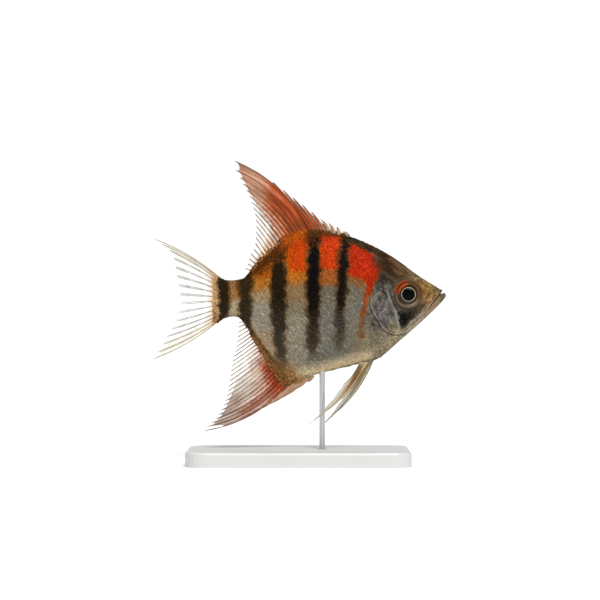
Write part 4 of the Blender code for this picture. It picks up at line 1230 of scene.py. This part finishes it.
anal_ray = fin_material("anal rays", 30, (
    ((0.14, 0.40), (-0.2, 0.80), 0.08, (140, 90, 64), 1.0),
    ((0.42, 1.4), (-0.2, 0.22), 0.10, (160, 106, 68), 1.0),
    ((0.16, 0.54), (-0.2, 0.28), 0.10, (118, 44, 20), 1.0),
    ((-0.2, 0.16), ALL, 0.03, (176, 140, 112), 1.0),
    ((0.12, 0.40), (0.70, 1.4), 0.08, (126, 100, 84), 1.0),
), ((172, 158, 138), 1.0), foot=(0.06, 0.12), streaks=0.5, tips=0.7)
fin_pieces("anal", "anal_fin", anal_fan, anal_web, anal_ray, (0.12, 0.035),
           ((0, 0.3), (3, 0.4), (5, 0.6), (7, 0.97), (13, 0.93), (20, 0.74), (29, 0.55)), (0.23, 0.17),
           forks=(0.5, 0.8), spread=(0.05, 0.03), stout=5)


# ---------------------------------------------------------------- tail fin
# Sixteen jointed rays from the stalk, forking twice and crowded along the upper and lower edge; the web
# is clear as glass but for its speckled foot.
TAIL_RAYS = 16
tail_root_x, TAIL_TOP, TAIL_BOTTOM, TAIL_BOW = -21.7, 5.5, -6.5, 0.045
tail_tips = curve_through([(-39.0, 15.7), (-34.6, 12.2), (-33.5, 8.0), (-32.6, 3.0), (-32.4, -1.0),
                           (-33.2, -6.0), (-36.3, -11.3), (-39.9, -17.1)], TAIL_RAYS)
tail_lines = []
for share, tip in zip(np.linspace(1.0, -1.0, TAIL_RAYS), tail_tips):
    root_z = (TAIL_TOP + TAIL_BOTTOM) / 2 + (TAIL_TOP - TAIL_BOTTOM) / 2 * (1.35 * share - 0.35 * share ** 3)
    tail_lines.append(ray_line((tail_root_x, root_z), tip, -TAIL_BOW * share))
tail_fan = Fan(tail_lines, 1, lambda x, z: 0.22 * np.sin(0.42 * z + 0.5) * rise(x, -23.0, -34.0))
tail_web = fin_material("tail web", 16, (
    ((-0.2, 0.17), WHOLE, 0.04, (226, 220, 204), 0.45),
    ((0.84, 1.2), WHOLE, 0.04, (226, 220, 204), 0.45),
    (WHOLE, (-0.2, 0.30), 0.12, (232, 200, 158), 0.4),
    (WHOLE, (-0.2, 0.16), 0.06, (222, 164, 104), 0.7),
), ((244, 242, 236), 0.07), foot=(0.08, 0.15))
tail_ray = fin_material("tail rays", 16, (
    ((-0.2, 0.20), WHOLE, 0.05, (182, 174, 152), 0.9),
    ((0.82, 1.2), WHOLE, 0.05, (182, 174, 152), 0.9),
    (WHOLE, (-0.2, 0.16), 0.10, (184, 144, 104), 0.95),
), ((164, 160, 148), 0.95), foot=(0.08, 0.15), tips=0.5)
fin_pieces("tail", "tail_fin", tail_fan, tail_web, tail_ray, (0.3, 0.035),
           ((0, 0.96), (3, 0.9), (8, 0.8), (12, 0.9), (15, 0.96)), (0.2, 0.12),
           forks=(0.3, 0.62), spread=(0.09, 0.05))


# ---------------------------------------------------------------- pelvic fins
# A narrow blade on each side of the belly: one spine, then rays whose first is drawn out to a filament.
# The near fin is golden brown, the far one paler.
PELVIC_ROOT_X, PELVIC_ROOT_WIDTH, PELVIC_ROOT_Y = 17.9, 2.0, 1.1
PELVIC_TIPS = [(15.5, 1.6), (24.1, 0.0), (19.5, 0.6), (15.5, 0.5), (11.5, 0.3), (7.5, -0.2)]
PELVIC_BOW, PELVIC_SPLAY = 0.06, 12.0
for side, side_name, sweep, shift, tan, brown, solid in (
        (1, "left", 52.0, 0.9, (206, 192, 162), (168, 152, 118), 0.7),
        (-1, "right", 46.0, -0.6, (190, 156, 112), (112, 88, 54), 0.95)):
    turn = math.radians(sweep)
    back = np.array([-math.cos(turn), -math.sin(turn)])
    front = np.array([-back[1], back[0]])
    root_x = PELVIC_ROOT_X + shift
    root_z = float(belly_at(root_x)) - ROOT_CLEARANCE
    lines = []
    for share, (along, ahead) in zip(np.linspace(0.5, -0.5, len(PELVIC_TIPS)), PELVIC_TIPS):
        root = np.array([root_x + PELVIC_ROOT_WIDTH * share, root_z])
        tip = np.array([root_x, root_z]) + back * along + front * ahead
        lines.append(ray_line(root, tip, PELVIC_BOW))
    splay = math.tan(math.radians(PELVIC_SPLAY))
    fan = Fan(lines, 1, lambda x, z: side * (PELVIC_ROOT_Y + splay * (root_z - z)))
    web = fin_material("pelvic web " + side_name, 12, (
        (WHOLE, (-0.2, 0.62), 0.12, tan, solid),
        ((0.3, 1.2), (-0.2, 0.42), 0.14, brown, solid),
    ), ((204, 190, 162), 0.5 * solid), foot=(0.03, 0.1))
    ray = fin_material("pelvic rays " + side_name, 12, (
        (WHOLE, (-0.2, 0.45), 0.12, brown, 1.0),
    ), ((166, 158, 138), 0.9), foot=(0.03, 0.08), tips=0.8)
    fin_pieces("pelvic_" + side_name, "pelvic_fin_" + side_name, fan, web, ray, (0.25, 0.05),
               ((0, 0.93), (5, 0.93)), (0.19, 0.08), forks=(0.5, 0.8), spread=(0.2, 0.1))


# ---------------------------------------------------------------- pectoral fins
# A round paddle of eleven fine rays behind each gill cover, clear enough to show the bars through it, held
# a little out from the flank.
PECTORAL_RAYS, PECTORAL_FLARE = 11, 26.0
pectoral_roots = curve_through([(18.0, -5.2), (17.0, -9.4)], PECTORAL_RAYS)
pectoral_tips = curve_through([(9.8, -3.6), (7.7, -6.2), (7.9, -9.6), (10.0, -12.3), (13.4, -13.2)],
                              PECTORAL_RAYS)
root_y = max(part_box("pectoral_fin_left")[0].y / MM + 0.42, 4.5)
flare = math.tan(math.radians(PECTORAL_FLARE))
for side, side_name in ((1, "left"), (-1, "right")):
    lines = [ray_line(root, tip, 0.0) for root, tip in zip(pectoral_roots, pectoral_tips)]
    fan = Fan(lines, 1, lambda x, z: side * (root_y + flare * (pectoral_roots[0, 0] - x)), sunk=1.2)
    web = fin_material("pectoral web " + side_name, 11, (
        (WHOLE, (-0.2, 0.1), 0.1, (112, 106, 92), 0.05),
    ), ((110, 108, 98), 0.02))
    ray = fin_material("pectoral rays " + side_name, 11, (
        (WHOLE, (-0.2, 0.15), 0.1, (112, 106, 92), 1.0),
    ), ((104, 102, 94), 1.0), tips=0.2)
    fin_pieces("pectoral_" + side_name, "pectoral_fin_" + side_name, fan, web, ray, (0.1, 0.03),
               ((0, 0.95), (10, 0.95)), (0.05, 0.022), spread=(0.17, 0.09))


# ---------------------------------------------------------------- stand
# A satin acrylic slab with a softened edge, and a drawn steel rod pressed into it and into the belly.
# Both are plain stock and carry nothing else.
acrylic, wire = new_material("satin acrylic")
haze, wear = (wire.noise(wire.own_place(), scale, detail, rough) for scale, detail, rough in (
    (260.0, 5.0, 0.6), (55.0, 3.0, 0.5)))
wire.dress(Base_Color=wire.blend(wear, (0.50, 0.50, 0.49, 1.0), (0.56, 0.56, 0.55, 1.0)),
           Roughness=wire.ramp(haze, 0.0, 1.0, 0.28, 0.5), Normal=wire.bump(haze, 0.25, 0.00002))
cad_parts["stand_base"].material_slots[0].material = acrylic

steel, wire = new_material("drawn steel")
draw_lines = wire.noise(wire.own_place(), 1.0, 4.0, 0.7, (9000.0, 9000.0, 260.0))
wire.dress(Base_Color=wire.blend(draw_lines, (0.46, 0.47, 0.48, 1.0), (0.62, 0.63, 0.64, 1.0)), Metallic=1.0,
           Roughness=wire.ramp(draw_lines, 0.0, 1.0, 0.2, 0.42), Normal=wire.bump(draw_lines, 0.2, 0.00001))
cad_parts["stand_rod"].material_slots[0].material = steel

# ---------------------------------------------------------------- floor, light and camera
# A wide pale studio floor under soft light, seen level from the fish's right side.
FLOOR_REACH = 80.0
corners = [(FLOOR_REACH * x, FLOOR_REACH * y, 0.0) for x, y in ((-1, -1), (1, -1), (1, 1), (-1, 1))]
floor = mesh_object("floor", corners, [(0, 1, 2, 3)], smooth=False)
paper, wire = new_material("studio floor")
grain = wire.noise(wire.own_place(), 6.0, 2.0, 0.5)
wire.dress(Base_Color=wire.blend(grain, (0.93, 0.93, 0.93, 1.0), (0.95, 0.95, 0.95, 1.0)), Roughness=0.9,
           Specular_IOR_Level=0.0)
floor.data.materials.append(paper)

# The air itself is white to the camera, and lights the fish at half that strength.
world = bpy.data.worlds.new("studio air")
world.use_nodes = True
air = Wiring(world.node_tree)
seen = air.node("ShaderNodeLightPath").outputs["Is Camera Ray"]
air.fill(world.node_tree.nodes["Background"], {"Color": (1.0, 1.0, 1.0, 1.0),
                                               "Strength": air.ramp(seen, 0.0, 1.0, 0.52, 1.05)})
bpy.context.scene.world = world
for name, aim, power, spread in (("key", (-0.25, 0.85, -0.95), 3.0, 26.0),
                                 ("rear", (0.3, -0.8, -0.9), 0.5, 40.0)):
    lamp = shown(name, bpy.data.lights.new(name, "SUN"))
    lamp.data.energy = power
    lamp.data.angle = math.radians(spread)
    lamp.rotation_euler = Vector(aim).to_track_quat("-Z", "Y").to_euler()

FRAME_WIDTH = 0.162          # metres of the fish's plane that the picture spans
LENS, FILM = 150.0, 36.0
camera = shown("camera", bpy.data.cameras.new("camera"))
camera.data.lens = LENS
camera.data.sensor_width = FILM
camera.data.clip_start = 0.01
camera.location = (0.0004, -FRAME_WIDTH * LENS / FILM, AXIS_HEIGHT * MM - 0.0008)
camera.rotation_euler = (math.pi / 2, 0.0, 0.0)
bpy.context.scene.camera = camera
bpy.context.scene.view_settings.view_transform = "Standard"
